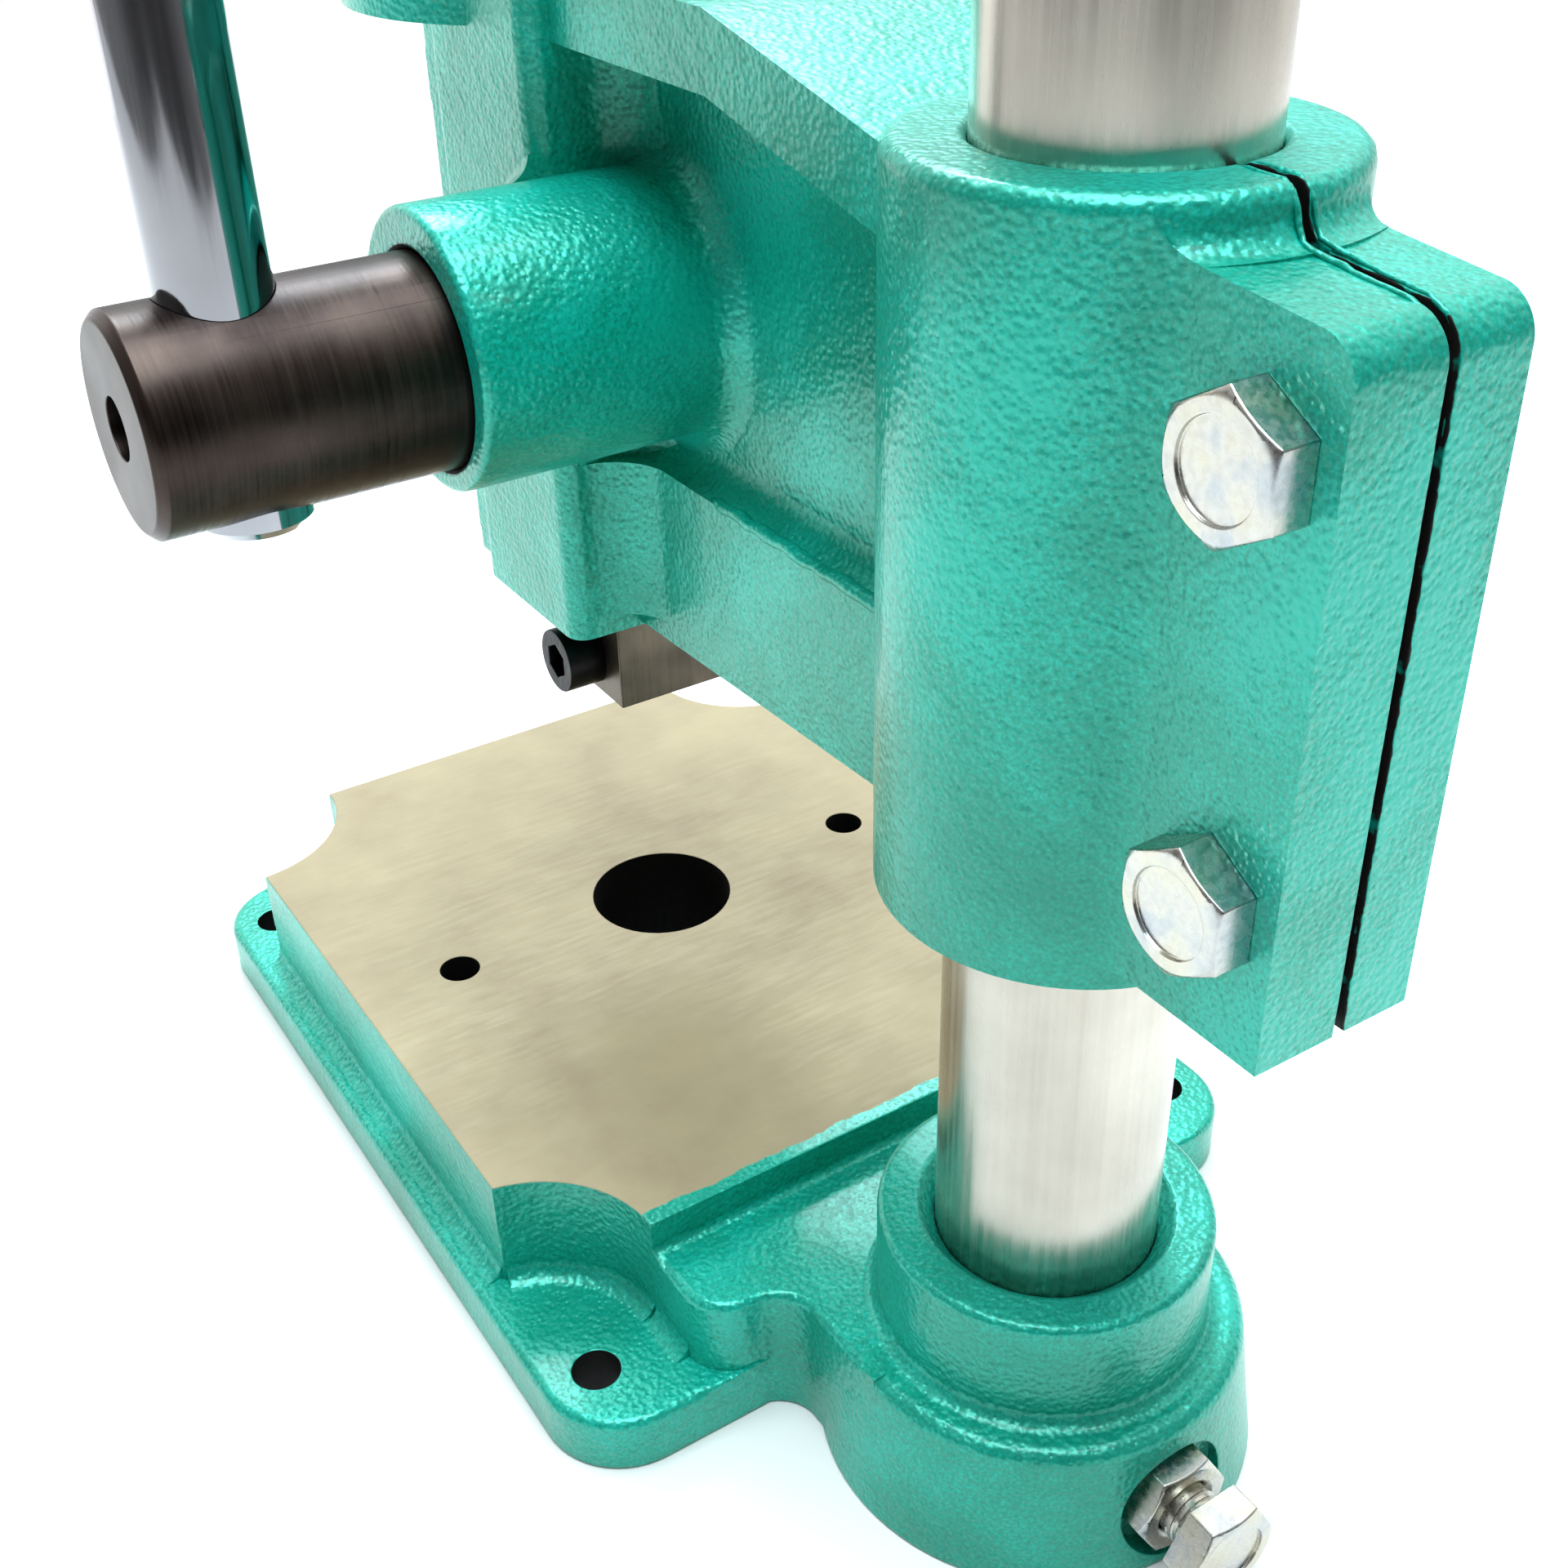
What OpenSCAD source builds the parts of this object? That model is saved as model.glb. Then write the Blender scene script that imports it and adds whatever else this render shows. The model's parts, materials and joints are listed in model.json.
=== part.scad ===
// Lever hole punch: a column press with a rack and pinion head.
// Millimetres, +Z up. The origin is where the die hole's axis meets the bench, so the ram
// travels along Z at X = 0, Y = 0. +X is the lever's side and +Y is the column's side.

/* [Column] */
// Diameter of the chromed column
column_d = 38; // [34:0.5:42]
// Height of the column's top above the table face
column_h = 296; // [270:1:340]
// Chamfer on the column's ends
column_chamfer = 1.5; // [0.5:0.5:3]
// Distance from the ram's axis to the column's axis
throat = 135; // [130:1:150]

/* [Table and base] */
// Width of the table
table_w = 146; // [138:1:160]
// Distance from the ram's axis to the table's front edge
table_front = 83; // [78:1:95]
// Distance from the ram's axis to the table's rear edge
table_rear = 89; // [86:1:91]
// Height of the table face above the bench
table_h = 36; // [32:1:44]
// Thickness of the table plate over the hollow underside
plate_t = 14; // [10:1:18]
// Wall of the base casting round its hollows
base_wall = 10; // [8:0.5:12]
// Half width of the solid middle of the base under the die hole
core_half_w = 30; // [26:1:34]
// Thickness of the foot flange
flange_t = 12; // [8:0.5:14]
// How far the foot flange stands out from the table's sides
flange_ledge = 6; // [4.5:0.5:8]
// How far the rear foot lugs reach behind the table
lug_reach = 20; // [17:0.5:21]
// Radius of the foot flange's corners
flange_corner_r = 16; // [10:0.5:18]
// Diameter of the hole in each foot lug
foot_hole_d = 9; // [6:0.5:11]
// Distance of each foot hole from the flange's side edge
foot_inset_x = 10.5; // [8:0.5:13]
// Distance of each foot hole from the flange's end edge
foot_inset_y = 15.5; // [10:0.5:17]
// Radius of the hollows cut in the table's rear corners
rear_scallop_r = 25; // [22:0.5:27]
// Radius of the hollows cut in the table's front corners
front_scallop_r = 25.5; // [20:0.5:28]
// Diameter of the die hole
die_hole_d = 31; // [24:0.5:40]
// Diameter of the two tapped die holes
die_tap_d = 8.5; // [5:0.5:10.5]
// Distance between the two tapped die holes
die_tap_spacing = 100; // [86:1:106]

/* [Neck and column socket] */
// Drop from the table face to the top of the neck
neck_drop = 7.5; // [4:0.5:10]
// Distance from the ram's axis to the neck's rear shoulders
neck_rear = 108.5; // [104:0.5:109]
// Wall of the column boss at its top
boss_wall = 17; // [15:0.5:18]
// Extra radius of the column boss at the bench
boss_draft = 3.5; // [1:0.5:5]
// Rounding of the boss's upper rim
boss_rim_r = 3; // [1:0.5:4]
// Wall of the raised socket ring
socket_wall = 10; // [7:0.5:12]
// Height of the socket ring's top above the table face
socket_h = 14.5; // [8:0.5:20]
// Chamfer round the mouth of the socket
socket_chamfer = 3; // [1:0.5:4]

/* [Head casting] */
// Height of the guide block's underside above the table face
head_lift = 80; // [76:1:90]
// Width of the block that guides the ram
block_w = 50; // [48:1:56]
// Half depth of the guide block
block_half_d = 20; // [19.5:0.5:23]
// Height of the guide block under its top flange
block_h = 108.5; // [106:0.5:116]
// Thickness of the top flange
top_t = 12; // [9:0.5:14]
// Radius of the round flange over the block's front
top_r = 35; // [32:0.5:38]
// Distance from the ram's axis forward to the round flange's middle
top_shift = 26; // [20:1:30]
// Wall of the clamp round the column
clamp_wall = 11; // [9:0.5:13]
// Height of the clamp
clamp_h = 109; // [104:1:112]
// Step from the block's underside up to the clamp's underside
clamp_step = 4.5; // [2:0.5:8]
// Thickness of the clamp lug's half under the bolt heads, from the saw cut's middle
lug_near_t = 15; // [14:0.5:17]
// Thickness of the clamp lug's threaded half, from the saw cut's middle
lug_far_t = 12.5; // [11:0.5:16]
// Distance from the column's axis to the lug's rear face
lug_rear = 53.5; // [51:0.5:56]
// Width of the saw cut in the clamp
slot_w = 1.6; // [1:0.1:2.5]
// Distance of each clamp bolt from the lug's rear face
clamp_bolt_inset = 12; // [10:0.5:13]
// Distance of each clamp bolt from the clamp's end
clamp_bolt_end = 25; // [20:0.5:30]
// Half thickness of the arm's lower band
band_half_t = 10; // [8:0.5:13]
// Height of the arm's lower band
band_h = 31; // [26:0.5:33]
// Half thickness of the arm's web
web_half_t = 4; // [3:0.5:6]
// Half width of the top flange along the arm
arm_half_w = 20; // [17:0.5:24]
// Drop of the arm's sloping top from the block to the clamp
arm_drop = 8.5; // [6:0.5:10]

/* [Pinion and lever] */
// Gear module of the pinion and the rack
gear_module = 2; // [1.9:0.05:2.1]
// Number of pinion teeth
pinion_teeth = 16; // [15:1:17]
// Height of the pinion's axis above the guide block's underside
pinion_rise = 63.5; // [60:0.5:66]
// Wall of the bearing boss round the pinion shaft
bearing_wall = 5.5; // [4:0.5:6]
// Height of the cast bearing boss's middle above its bore's axis
boss_rise = 1.5; // [0:0.5:2]
// Distance from the ram's axis to the bearing boss's lever end
bearing_end = 51; // [44:0.5:58]
// Distance from the ram's axis to the bearing boss's spring end
spring_end = 38; // [34:0.5:42]
// Diameter of the pinion shaft's small journal
small_journal_d = 20; // [18:0.5:24]
// Length of the shaft's hub outside the bearing boss
hub_l = 50.5; // [44:0.5:56]
// Diameter of the lever rod
lever_d = 18.5; // [14:0.5:20]
// Distance of the lever from the hub's outer end
lever_inset = 18.5; // [17:0.5:22]
// Length of the lever rod above the pinion's axis, up to its knob
lever_l = 205; // [160:1:212]
// How far the lever's foot shows under the hub
lever_foot = 2; // [1:0.5:8]
// Forward lean of the lever at rest, in degrees
lever_lean = 2.4; // [0:0.1:6]
// Diameter of the lever's knob
knob_d = 38; // [30:1:42]

/* [Ram] */
// Width of the square ram
ram_w = 25; // [24:0.5:26]
// Height of the ram's lower end above the table face at rest
ram_lift = 58; // [54:1:62]
// Length of the ram
ram_l = 140; // [136:1:142]
// Travel of the ram
ram_travel = 37; // [30:0.5:37]
// Diameter of the tool bore in the ram
tool_bore_d = 12; // [8:0.5:14]
// Depth of the tool bore
tool_bore_h = 25; // [20:0.5:32]
// Height of the tool clamp screw above the ram's lower end
tool_screw_rise = 8; // [7:0.5:10]
// Thickness of the gib strip
gib_t = 4; // [3:0.5:5]
// Thickness of the front cover
cover_t = 6; // [5:0.5:8]
// Half width of the front cover
cover_half_w = 23; // [22.5:0.5:24]

/* [Depth stop] */
// Diameter of the stop rod
stop_rod_d = 12; // [8:0.5:13]
// Thickness of the stop plate
stop_plate_t = 8; // [5:0.5:10]
// Spare thread above the stop nuts
stop_spare = 14; // [13:0.5:20]

/* [Return spring] */
// Outer radius of the spring cup
cup_r = 29; // [27:0.5:31]
// Depth of the spring cup
cup_h = 13; // [10:0.5:16]
// Sheet thickness of the spring cup
cup_t = 1.5; // [1:0.1:2]
// Turns of the spiral spring
spring_turns = 5; // [3:1:6]
// Thickness of the spring strip
spring_t = 0.8; // [0.4:0.1:1]

/* [Fasteners] */
// Diameter of the clamp bolts and of the column's set bolt
bolt_d = 10; // [8:0.5:10.5]
// Width across the flats of those bolts
bolt_af = 17; // [15:0.5:17.5]
// Height of those bolt heads
bolt_head_h = 6.4; // [5:0.2:7]
// Diameter of the cover and plate screws
screw_d = 4; // [3:0.5:4.5]
// Diameter of the gib screws
gib_screw_d = 6; // [4:0.5:7]

/* [Hidden] */
$fn = 96;

// Overrun of every cut, clearance of what slides or turns, gap of a fitted hole,
// and the gap between pieces that move past each other without being guided
over = 1;
run_gap = 0.05;
fit_gap = 0.05;
seat_gap = 0.3;

// Colours of the paint and the metals
paint = "#2faa90";
chrome = "#d9dde0";
oiled = "#4b3f3a";
zinc = "#d6d6cc";
black = "#26262a";
steel = "#8d8f92";

// Roundings of the castings
foot_fillet_r = 4;
block_edge_r = 4;
arm_fillet_r = 12;
web_fillet_r = 6;
arm_level_share = 0.57;
boss_fillet_r = 4;
boss_fillet_end = 1;
lug_fillet_r = 8;
lug_corner_r = 6;
neck_fillet_r = 8;
mouth_chamfer = 1;
run_out_share = 1.004;
corner_margin = 1.5;

// Column and clamp
column_r = column_d / 2;
column_floor_gap = 1;
column_top = table_h + column_h;
bore_r = column_r + run_gap;
clamp_r = column_r + clamp_wall;

// Heights of the head
block_z = table_h + head_lift;
top_z = block_z + block_h;
top_face = top_z + top_t;
clamp_z = block_z + clamp_step;
clamp_top = clamp_z + clamp_h;
band_top = clamp_z + band_h;
half_block = block_w / 2;

// Split lug: its foot and its top stand off the clamp's ends
lug_foot_step = 4;
lug_top_step = 8.5;
lug_top_slope = 1.8;
lug_y = throat + lug_rear;
lug_z = clamp_z + lug_foot_step;
lug_top = clamp_top - lug_top_step;
clamp_bolt_y = lug_y - clamp_bolt_inset;
clamp_bolt_zs = [clamp_z + clamp_bolt_end, clamp_top - clamp_bolt_end];

// Ram and its guide
half_ram = ram_w / 2;
channel_half = half_ram + run_gap;
ram_z = table_h + ram_lift;
ram_top = ram_z + ram_l;
gib_front = half_ram + run_gap + gib_t;
cover_back = block_half_d;
cover_front = cover_back + cover_t;
cover_margin = 2;
cover_screw_inset = 5;
cover_z = block_z + cover_margin;
cover_h = block_h - 2 * cover_margin;
cover_screw_x = cover_half_w - cover_screw_inset;
cover_thread_l = 10;
cover_screw_shares = [0.1, 0.5, 0.9];
gib_screw_shares = [0.2, 0.5, 0.8];

// Gear pair: the rack's tooth tips lie in the ram's rear face, and the pinion is cut in the
// bar of the hub and the journal, so the shaft goes in from the lever's side
pressure_angle = 20;
tooth_backlash = 0.2;
addendum_share = 1;
dedendum_share = 1.25;
rack_addendum_share = 0.9;
pitch_r = gear_module * pinion_teeth / 2;
shaft_r = pitch_r + addendum_share * gear_module;
tip_relief = 0.15;
pinion_tip_r = shaft_r - tip_relief;
pinion_root_r = pitch_r - dedendum_share * gear_module;
pinion_base_r = pitch_r * cos(pressure_angle);
tooth_pitch = PI * gear_module;
rack_pitch_y = half_ram - rack_addendum_share * gear_module;
rack_root_y = rack_pitch_y - dedendum_share * gear_module;
rack_lead = 3;
pinion_y = rack_pitch_y + pitch_r;
pinion_z = block_z + pinion_rise;
flank_steps = 5;

// Pinion shaft
bearing_r = shaft_r + bearing_wall;
hub_end = bearing_end + hub_l;
lever_x = hub_end - lever_inset;
lever_r = lever_d / 2;
small_journal_r = small_journal_d / 2;
shaft_step_x = -half_ram - run_gap;
hub_chamfer = 1.5;

// Return spring and its cup
cup_flange_w = 7;
cup_flange_t = 2;
cup_flange_r = cup_r + cup_flange_w;
cup_seat_t = 5;
cup_screw_count = 4;
cup_screw_step = 360 / cup_screw_count;
cup_screw_d = 4;
cup_screw_l = 9;
cup_outer_x = -spring_end - cup_h;
spring_arbor_step = 2;
spring_arbor_r = small_journal_r - spring_arbor_step;
spring_side_gap = 1.5;
spring_inner_r = spring_arbor_r + seat_gap;
spring_outer_r = cup_r - cup_t - seat_gap;
spring_steps = 24;
shaft_nut_d = 12;
shaft_nut_af = 18;
shaft_nut_h = 6;
shaft_tail = 1.5;

// Depth stop
stop_rod_r = stop_rod_d / 2;
stop_plate_half = 24;
stop_plate_rear = 16;
stop_plate_front = 22;
stop_screw_x = 18.5;
stop_screw_ys = [-16, 10];
stop_plate_top = top_face + stop_plate_t;
stop_nut_af = 19;
stop_nut_h = 10;
stop_lock_nut_h = 6;
stop_nut_z = stop_plate_top + ram_travel + seat_gap;
stop_rod_depth = 18;
stop_thread_l = 8;

// Screw that clamps the tool's shank in the ram
tool_screw_r = 4;

// Lever's knob and grub screw
knob_r = knob_d / 2;
knob_neck_share = 0.62;
knob_seat_r = knob_r * knob_neck_share;
knob_center = lever_l + sqrt(knob_r * knob_r - knob_seat_r * knob_seat_r);
knob_tang_r = 6;
knob_tang_l = 20;
grub_d = 10;
grub_inset = 2;
grub_socket_af = 5;
grub_socket_h = 4;

// How far a screw's end stays short of its hole's end
thread_end_gap = 1;

// Small hardware, as shares of its diameter or of its width across the flats
hex_bevel_share = 0.95;
dish_share = 0.74;
dish_h = 0.6;
cap_head_share = 1.65;
key_share = 0.8;
key_depth_share = 0.6;
shank_root_share = 0.25;
sunk_head_share = 1.9;
nut_bevel_share = 0.1;
small_nut_af_share = 5 / 3;
small_nut_h_share = 0.8;
gib_screw_tail_share = 1.5;

// Base: its outline and its foot holes
table_half = table_w / 2;
flange_half = table_half + flange_ledge;
flange_front = table_front + flange_ledge;
flange_rear = table_rear + lug_reach;
foot_x = flange_half - foot_inset_x;
front_foot_y = foot_inset_y - flange_front;
rear_foot_y = flange_rear - foot_inset_y;
rear_scallop_shift = 5;
rear_scallop_x = table_half + rear_scallop_shift;
neck_half_w = rear_scallop_x - rear_scallop_r;
neck_z = table_h - neck_drop;
boss_r = column_r + boss_wall;
socket_r = column_r + socket_wall;
socket_top = table_h + socket_h;
hollow_h = table_h - plate_t;
hollow_corner_r = 6;

// Column's set bolt: its axis height, its spot face and its nut
set_bolt_z = 12;
set_bolt_nut_h = 6;
set_bolt_gap = 5;
spot_depth = 4;
spot_y = throat + boss_r - spot_depth + boss_draft / 2;
spot_rim = 1;
spot_r = bolt_af / cos(30) / 2 + spot_rim;
column_back = throat + column_r;

// Plain shapes

// A bar along X from x0 to x1
module bar_x(x0, x1, r) {
  translate([x0, 0, 0]) rotate([0, 90, 0]) cylinder(r = r, h = x1 - x0);
}

// A bar along Y from y0 to y1
module bar_y(y0, y1, r) {
  translate([0, y0, 0]) rotate([-90, 0, 0]) cylinder(r = r, h = y1 - y0);
}

// The hollow-sided triangle that fills an inner corner at the origin. It reaches a little
// into both walls, and its arc runs out on them at a slight angle
module corner_fill(r) {
  difference() {
    translate([-over, -over]) square(r + over);
    translate([r, r]) circle(r * run_out_share);
  }
}

// A rectangle with round corners, from corner a to corner b
module round_box(a, b, r) {
  translate([a[0] + r, a[1]]) square([b[0] - a[0] - 2 * r, b[1] - a[1]]);
  translate([a[0], a[1] + r]) square([b[0] - a[0], b[1] - a[1] - 2 * r]);
  for (x = [a[0] + r, b[0] - r], y = [a[1] + r, b[1] - r]) translate([x, y]) circle(r);
}

// An outline in the YZ plane pushed along X from x0 to x1
module side_slab(x0, x1) {
  translate([x0, 0, 0]) rotate([90, 0, 90]) linear_extrude(x1 - x0) children();
}

// Both sides of the middle plane, for solids and for outlines
module both_sides() {
  children();
  mirror([1, 0, 0]) children();
}

module both_sides_flat() {
  children();
  mirror([1, 0]) children();
}

// The pinion's axis, along X
module at_pinion() {
  translate([0, pinion_y, pinion_z]) children();
}

// A hexagon bar on Z from 0 to h with bevelled top corners
module hex_bar(af, h) {
  across = af / cos(30);
  bevel = (across - af * hex_bevel_share) / 2;
  intersection() {
    cylinder(d = across, h = h, $fn = 6);
    union() {
      cylinder(d = across + bevel, h = h - bevel / 2);
      translate([0, 0, h - bevel / 2]) cylinder(d1 = across, d2 = af * hex_bevel_share, h = bevel / 2);
    }
  }
}

// A hexagon bolt that seats on Z = 0, with its head above and its shank below
module hex_bolt(d, af, head_h, length) {
  difference() {
    hex_bar(af, head_h);
    translate([0, 0, head_h - dish_h]) cylinder(d = af * dish_share, h = dish_h + over);
  }
  translate([0, 0, -length]) cylinder(d = d, h = length + head_h / 2);
}

// A hexagon nut on Z from 0 to h
module hex_nut(d, af, h) {
  difference() {
    hex_bar(af, h);
    translate([0, 0, -over]) cylinder(d = d + 2 * fit_gap, h = h + 2 * over);
    translate([0, 0, h - d * nut_bevel_share])
      cylinder(r1 = d / 2, r2 = d / 2 + 2 * d * nut_bevel_share, h = 2 * d * nut_bevel_share);
  }
}

// A socket cap screw that seats on Z = 0
module cap_screw(d, length) {
  difference() {
    cylinder(d = d * cap_head_share, h = d);
    translate([0, 0, d * (1 - key_depth_share)]) cylinder(d = d * key_share / cos(30), h = d, $fn = 6);
  }
  translate([0, 0, -length]) cylinder(d = d, h = length + d * shank_root_share);
}

// The cone of a countersunk head whose flat face is on Z = 0
module sunk_cone(d, gap) {
  head_d = d * sunk_head_share;
  translate([0, 0, -(head_d - d) / 2]) cylinder(d1 = d + 2 * gap, d2 = head_d + 2 * gap, h = (head_d - d) / 2);
}

// A countersunk socket screw whose head's flat face is on Z = 0
module sunk_screw(d, length) {
  difference() {
    union() {
      sunk_cone(d, 0);
      translate([0, 0, -length]) cylinder(d = d, h = length - d * shank_root_share);
    }
    translate([0, 0, -d * key_depth_share / 2]) cylinder(d = d * key_depth_share, h = d, $fn = 6);
  }
}

// A set screw along Z from 0 to length with a socket in its top
module set_screw(d, length, af, socket_h) {
  difference() {
    cylinder(d = d, h = length);
    translate([0, 0, length - socket_h]) cylinder(d = af / cos(30), h = socket_h + over, $fn = 6);
  }
}

// Base casting

module table_outline() {
  difference() {
    translate([-table_half, -table_front]) square([table_w, table_front + table_rear]);
    both_sides_flat() {
      translate([rear_scallop_x, table_rear]) circle(rear_scallop_r);
      translate([table_half, -table_front]) circle(front_scallop_r);
    }
  }
}

// The neck's plan: shoulders behind the table that sweep in to the column boss
module neck_outline() {
  shoulder_r = neck_half_w - boss_r - neck_fillet_r;
  round_box([-neck_half_w, 0], [neck_half_w, neck_rear], shoulder_r);
  translate([-boss_r, 0]) square([2 * boss_r, throat]);
  both_sides_flat() translate([boss_r, neck_rear]) corner_fill(neck_fillet_r);
}

// Fillets where the table's walls stand on the foot flange
module foot_fillets() {
  rear_span = acos(rear_scallop_shift / rear_scallop_r);
  setback = front_scallop_r * sin(corner_margin);
  side_y0 = front_scallop_r - table_front + setback;
  side_y1 = table_rear - rear_scallop_r * sin(rear_span) - setback;
  front_half = table_half - front_scallop_r - setback;
  both_sides() translate([0, 0, flange_t]) {
    translate([table_half, side_y1, 0]) rotate([90, 0, 0]) linear_extrude(side_y1 - side_y0)
      corner_fill(foot_fillet_r);
    translate([rear_scallop_x, table_rear, 0]) rotate([0, 0, 180 + corner_margin])
      rotate_extrude(angle = rear_span - 2 * corner_margin)
        translate([rear_scallop_r, 0]) mirror([1, 0]) corner_fill(foot_fillet_r);
    translate([table_half, -table_front, 0]) rotate([0, 0, 90 + corner_margin])
      rotate_extrude(angle = 90 - 2 * corner_margin)
        translate([front_scallop_r, 0]) mirror([1, 0]) corner_fill(foot_fillet_r);
    translate([neck_half_w, neck_rear - neck_fillet_r, 0]) rotate([90, 0, 0])
      linear_extrude(neck_rear - neck_fillet_r - table_rear) corner_fill(foot_fillet_r);
  }
  translate([-front_half, -table_front, flange_t]) rotate([0, 0, -90]) rotate([90, 0, 0])
    mirror([0, 0, 1]) linear_extrude(2 * front_half) corner_fill(foot_fillet_r);
}

// The column boss with its rounded rim and the raised socket ring
module column_boss() {
  translate([0, throat, 0]) {
    rotate_extrude() {
      polygon([[0, 0], [boss_r + boss_draft, 0], [boss_r, neck_z - boss_rim_r],
               [boss_r - boss_rim_r, neck_z], [0, neck_z]]);
      translate([boss_r - boss_rim_r, neck_z - boss_rim_r]) circle(boss_rim_r);
      translate([socket_r, neck_z]) corner_fill(boss_rim_r);
    }
    cylinder(r = socket_r, h = socket_top);
  }
}

// The two hollows of the underside, on both sides of the solid middle
module base_hollows() {
  y0 = front_scallop_r + base_wall - table_front;
  y1 = table_rear - rear_scallop_r - base_wall;
  both_sides() translate([0, 0, -over]) linear_extrude(hollow_h + over)
    round_box([core_half_w, y0], [table_half - base_wall, y1], hollow_corner_r);
}

module base_casting() color(paint) difference() {
  union() {
    linear_extrude(flange_t)
      round_box([-flange_half, -flange_front], [flange_half, flange_rear], flange_corner_r);
    linear_extrude(table_h) table_outline();
    linear_extrude(neck_z) neck_outline();
    foot_fillets();
    column_boss();
  }
  base_hollows();
  translate([0, 0, -over]) cylinder(d = die_hole_d, h = table_h + 2 * over);
  for (s = [-1, 1]) {
    translate([s * die_tap_spacing / 2, 0, -over]) cylinder(d = die_tap_d, h = table_h + 2 * over);
    for (y = [front_foot_y, rear_foot_y])
      translate([s * foot_x, y, -over]) cylinder(d = foot_hole_d, h = flange_t + 2 * over);
  }
  translate([0, throat, -over]) cylinder(r = bore_r, h = socket_top + 2 * over);
  translate([0, throat, socket_top - socket_chamfer])
    cylinder(r1 = bore_r, r2 = bore_r + socket_chamfer + over, h = socket_chamfer + over);
  translate([0, 0, set_bolt_z]) {
    bar_y(throat, lug_y, bolt_d / 2 + fit_gap);
    bar_y(spot_y, lug_y, spot_r);
  }
}

module column_set_bolt() color(zinc) {
  head_y = spot_y + set_bolt_nut_h + set_bolt_gap;
  translate([0, head_y, set_bolt_z]) rotate([-90, 0, 0])
    hex_bolt(bolt_d, bolt_af, bolt_head_h, head_y - column_back - seat_gap);
}

module column_lock_nut() color(zinc) {
  translate([0, spot_y, set_bolt_z]) rotate([-90, 0, 0]) hex_nut(bolt_d, bolt_af, set_bolt_nut_h);
}

module column() color(chrome) translate([0, throat, column_floor_gap]) {
  length = column_top - column_floor_gap;
  cylinder(r1 = column_r - column_chamfer, r2 = column_r, h = column_chamfer);
  translate([0, 0, column_chamfer]) cylinder(r = column_r, h = length - 2 * column_chamfer);
  translate([0, 0, length - column_chamfer])
    cylinder(r1 = column_r, r2 = column_r - column_chamfer, h = column_chamfer);
}

// Head casting

module block_outline() {
  round_box([-half_block, -block_half_d], [half_block, block_half_d], block_edge_r);
}

module guide_block() {
  translate([0, 0, block_z]) linear_extrude(block_h) block_outline();
}

// The block's top, with the round flange that stands out in front of it
module head_flange() {
  translate([0, 0, top_z]) linear_extrude(top_t) {
    block_outline();
    translate([0, -top_shift]) circle(top_r);
  }
}

// The arm: a thick lower band, a thin web and a sloping top flange
module arm() {
  wall_y = throat - clamp_r;
  slope_y = block_half_d + (wall_y - block_half_d) * arm_level_share;
  drop = arm_drop * (throat - slope_y) / (wall_y - slope_y);
  slope = atan(arm_drop / (wall_y - slope_y));
  run = (throat - slope_y) / cos(slope);
  side_slab(-web_half_t, web_half_t)
    polygon([[0, clamp_z], [throat, clamp_z], [throat, top_z - drop], [slope_y, top_z], [0, top_z]]);
  side_slab(-band_half_t, band_half_t)
    polygon([[0, block_z], [block_half_d, block_z], [throat, clamp_z], [throat, band_top], [0, band_top]]);
  side_slab(-arm_half_w, arm_half_w)
    polygon([[0, top_z], [slope_y, top_z], [throat, top_z - drop],
             [throat, top_face - drop], [slope_y, top_face], [0, top_face]]);
  both_sides() {
    translate([web_half_t, throat, band_top]) rotate([90, 0, 0]) linear_extrude(throat)
      corner_fill(web_fillet_r);
    translate([web_half_t, slope_y, top_z]) rotate([90, 0, 0]) linear_extrude(slope_y)
      mirror([0, 1]) corner_fill(web_fillet_r);
    translate([web_half_t, slope_y, top_z]) rotate([-slope, 0, 0]) translate([0, run, 0]) rotate([90, 0, 0])
      linear_extrude(run) mirror([0, 1]) corner_fill(web_fillet_r);
    translate([0, block_half_d, 0]) {
      translate([band_half_t, 0, clamp_z]) linear_extrude(band_h) corner_fill(arm_fillet_r);
      translate([web_half_t, 0, band_top]) linear_extrude(top_z - band_top) corner_fill(arm_fillet_r);
    }
  }
}

// The split lug's plan, blended into the clamp's round wall
module lug_plan() {
  translate([-lug_far_t, 0]) square([lug_far_t + lug_near_t, lug_rear]);
  lug_blend(lug_near_t);
  mirror([1, 0]) lug_blend(lug_far_t);
}

module lug_blend(lug_t) {
  blend_x = lug_t + lug_fillet_r;
  blend_y = sqrt(pow(clamp_r + lug_fillet_r, 2) - pow(blend_x, 2));
  difference() {
    polygon([[0, 0], [blend_x, blend_y], [0, blend_y]]);
    translate([blend_x, blend_y]) circle(lug_fillet_r * run_out_share);
  }
}

// The round clamp and its split lug, whose top slopes down to a rounded rear corner
module clamp_body() {
  translate([0, throat, clamp_z]) cylinder(r = clamp_r, h = clamp_h);
  intersection() {
    translate([0, throat, clamp_z]) linear_extrude(clamp_h) lug_plan();
    union() {
      side_slab(-clamp_r, clamp_r) {
        polygon([[throat, lug_z], [lug_y, lug_z], [lug_y, lug_top - lug_corner_r],
                 [lug_y - lug_corner_r, lug_top], [throat + clamp_r, lug_top + lug_top_slope],
                 [throat, lug_top + lug_top_slope]]);
        translate([lug_y - lug_corner_r, lug_top - lug_corner_r]) circle(lug_corner_r);
      }
      translate([0, throat, lug_top + lug_top_slope]) rotate_extrude() translate([clamp_r, 0])
        corner_fill(boss_fillet_r);
    }
  }
}

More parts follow.
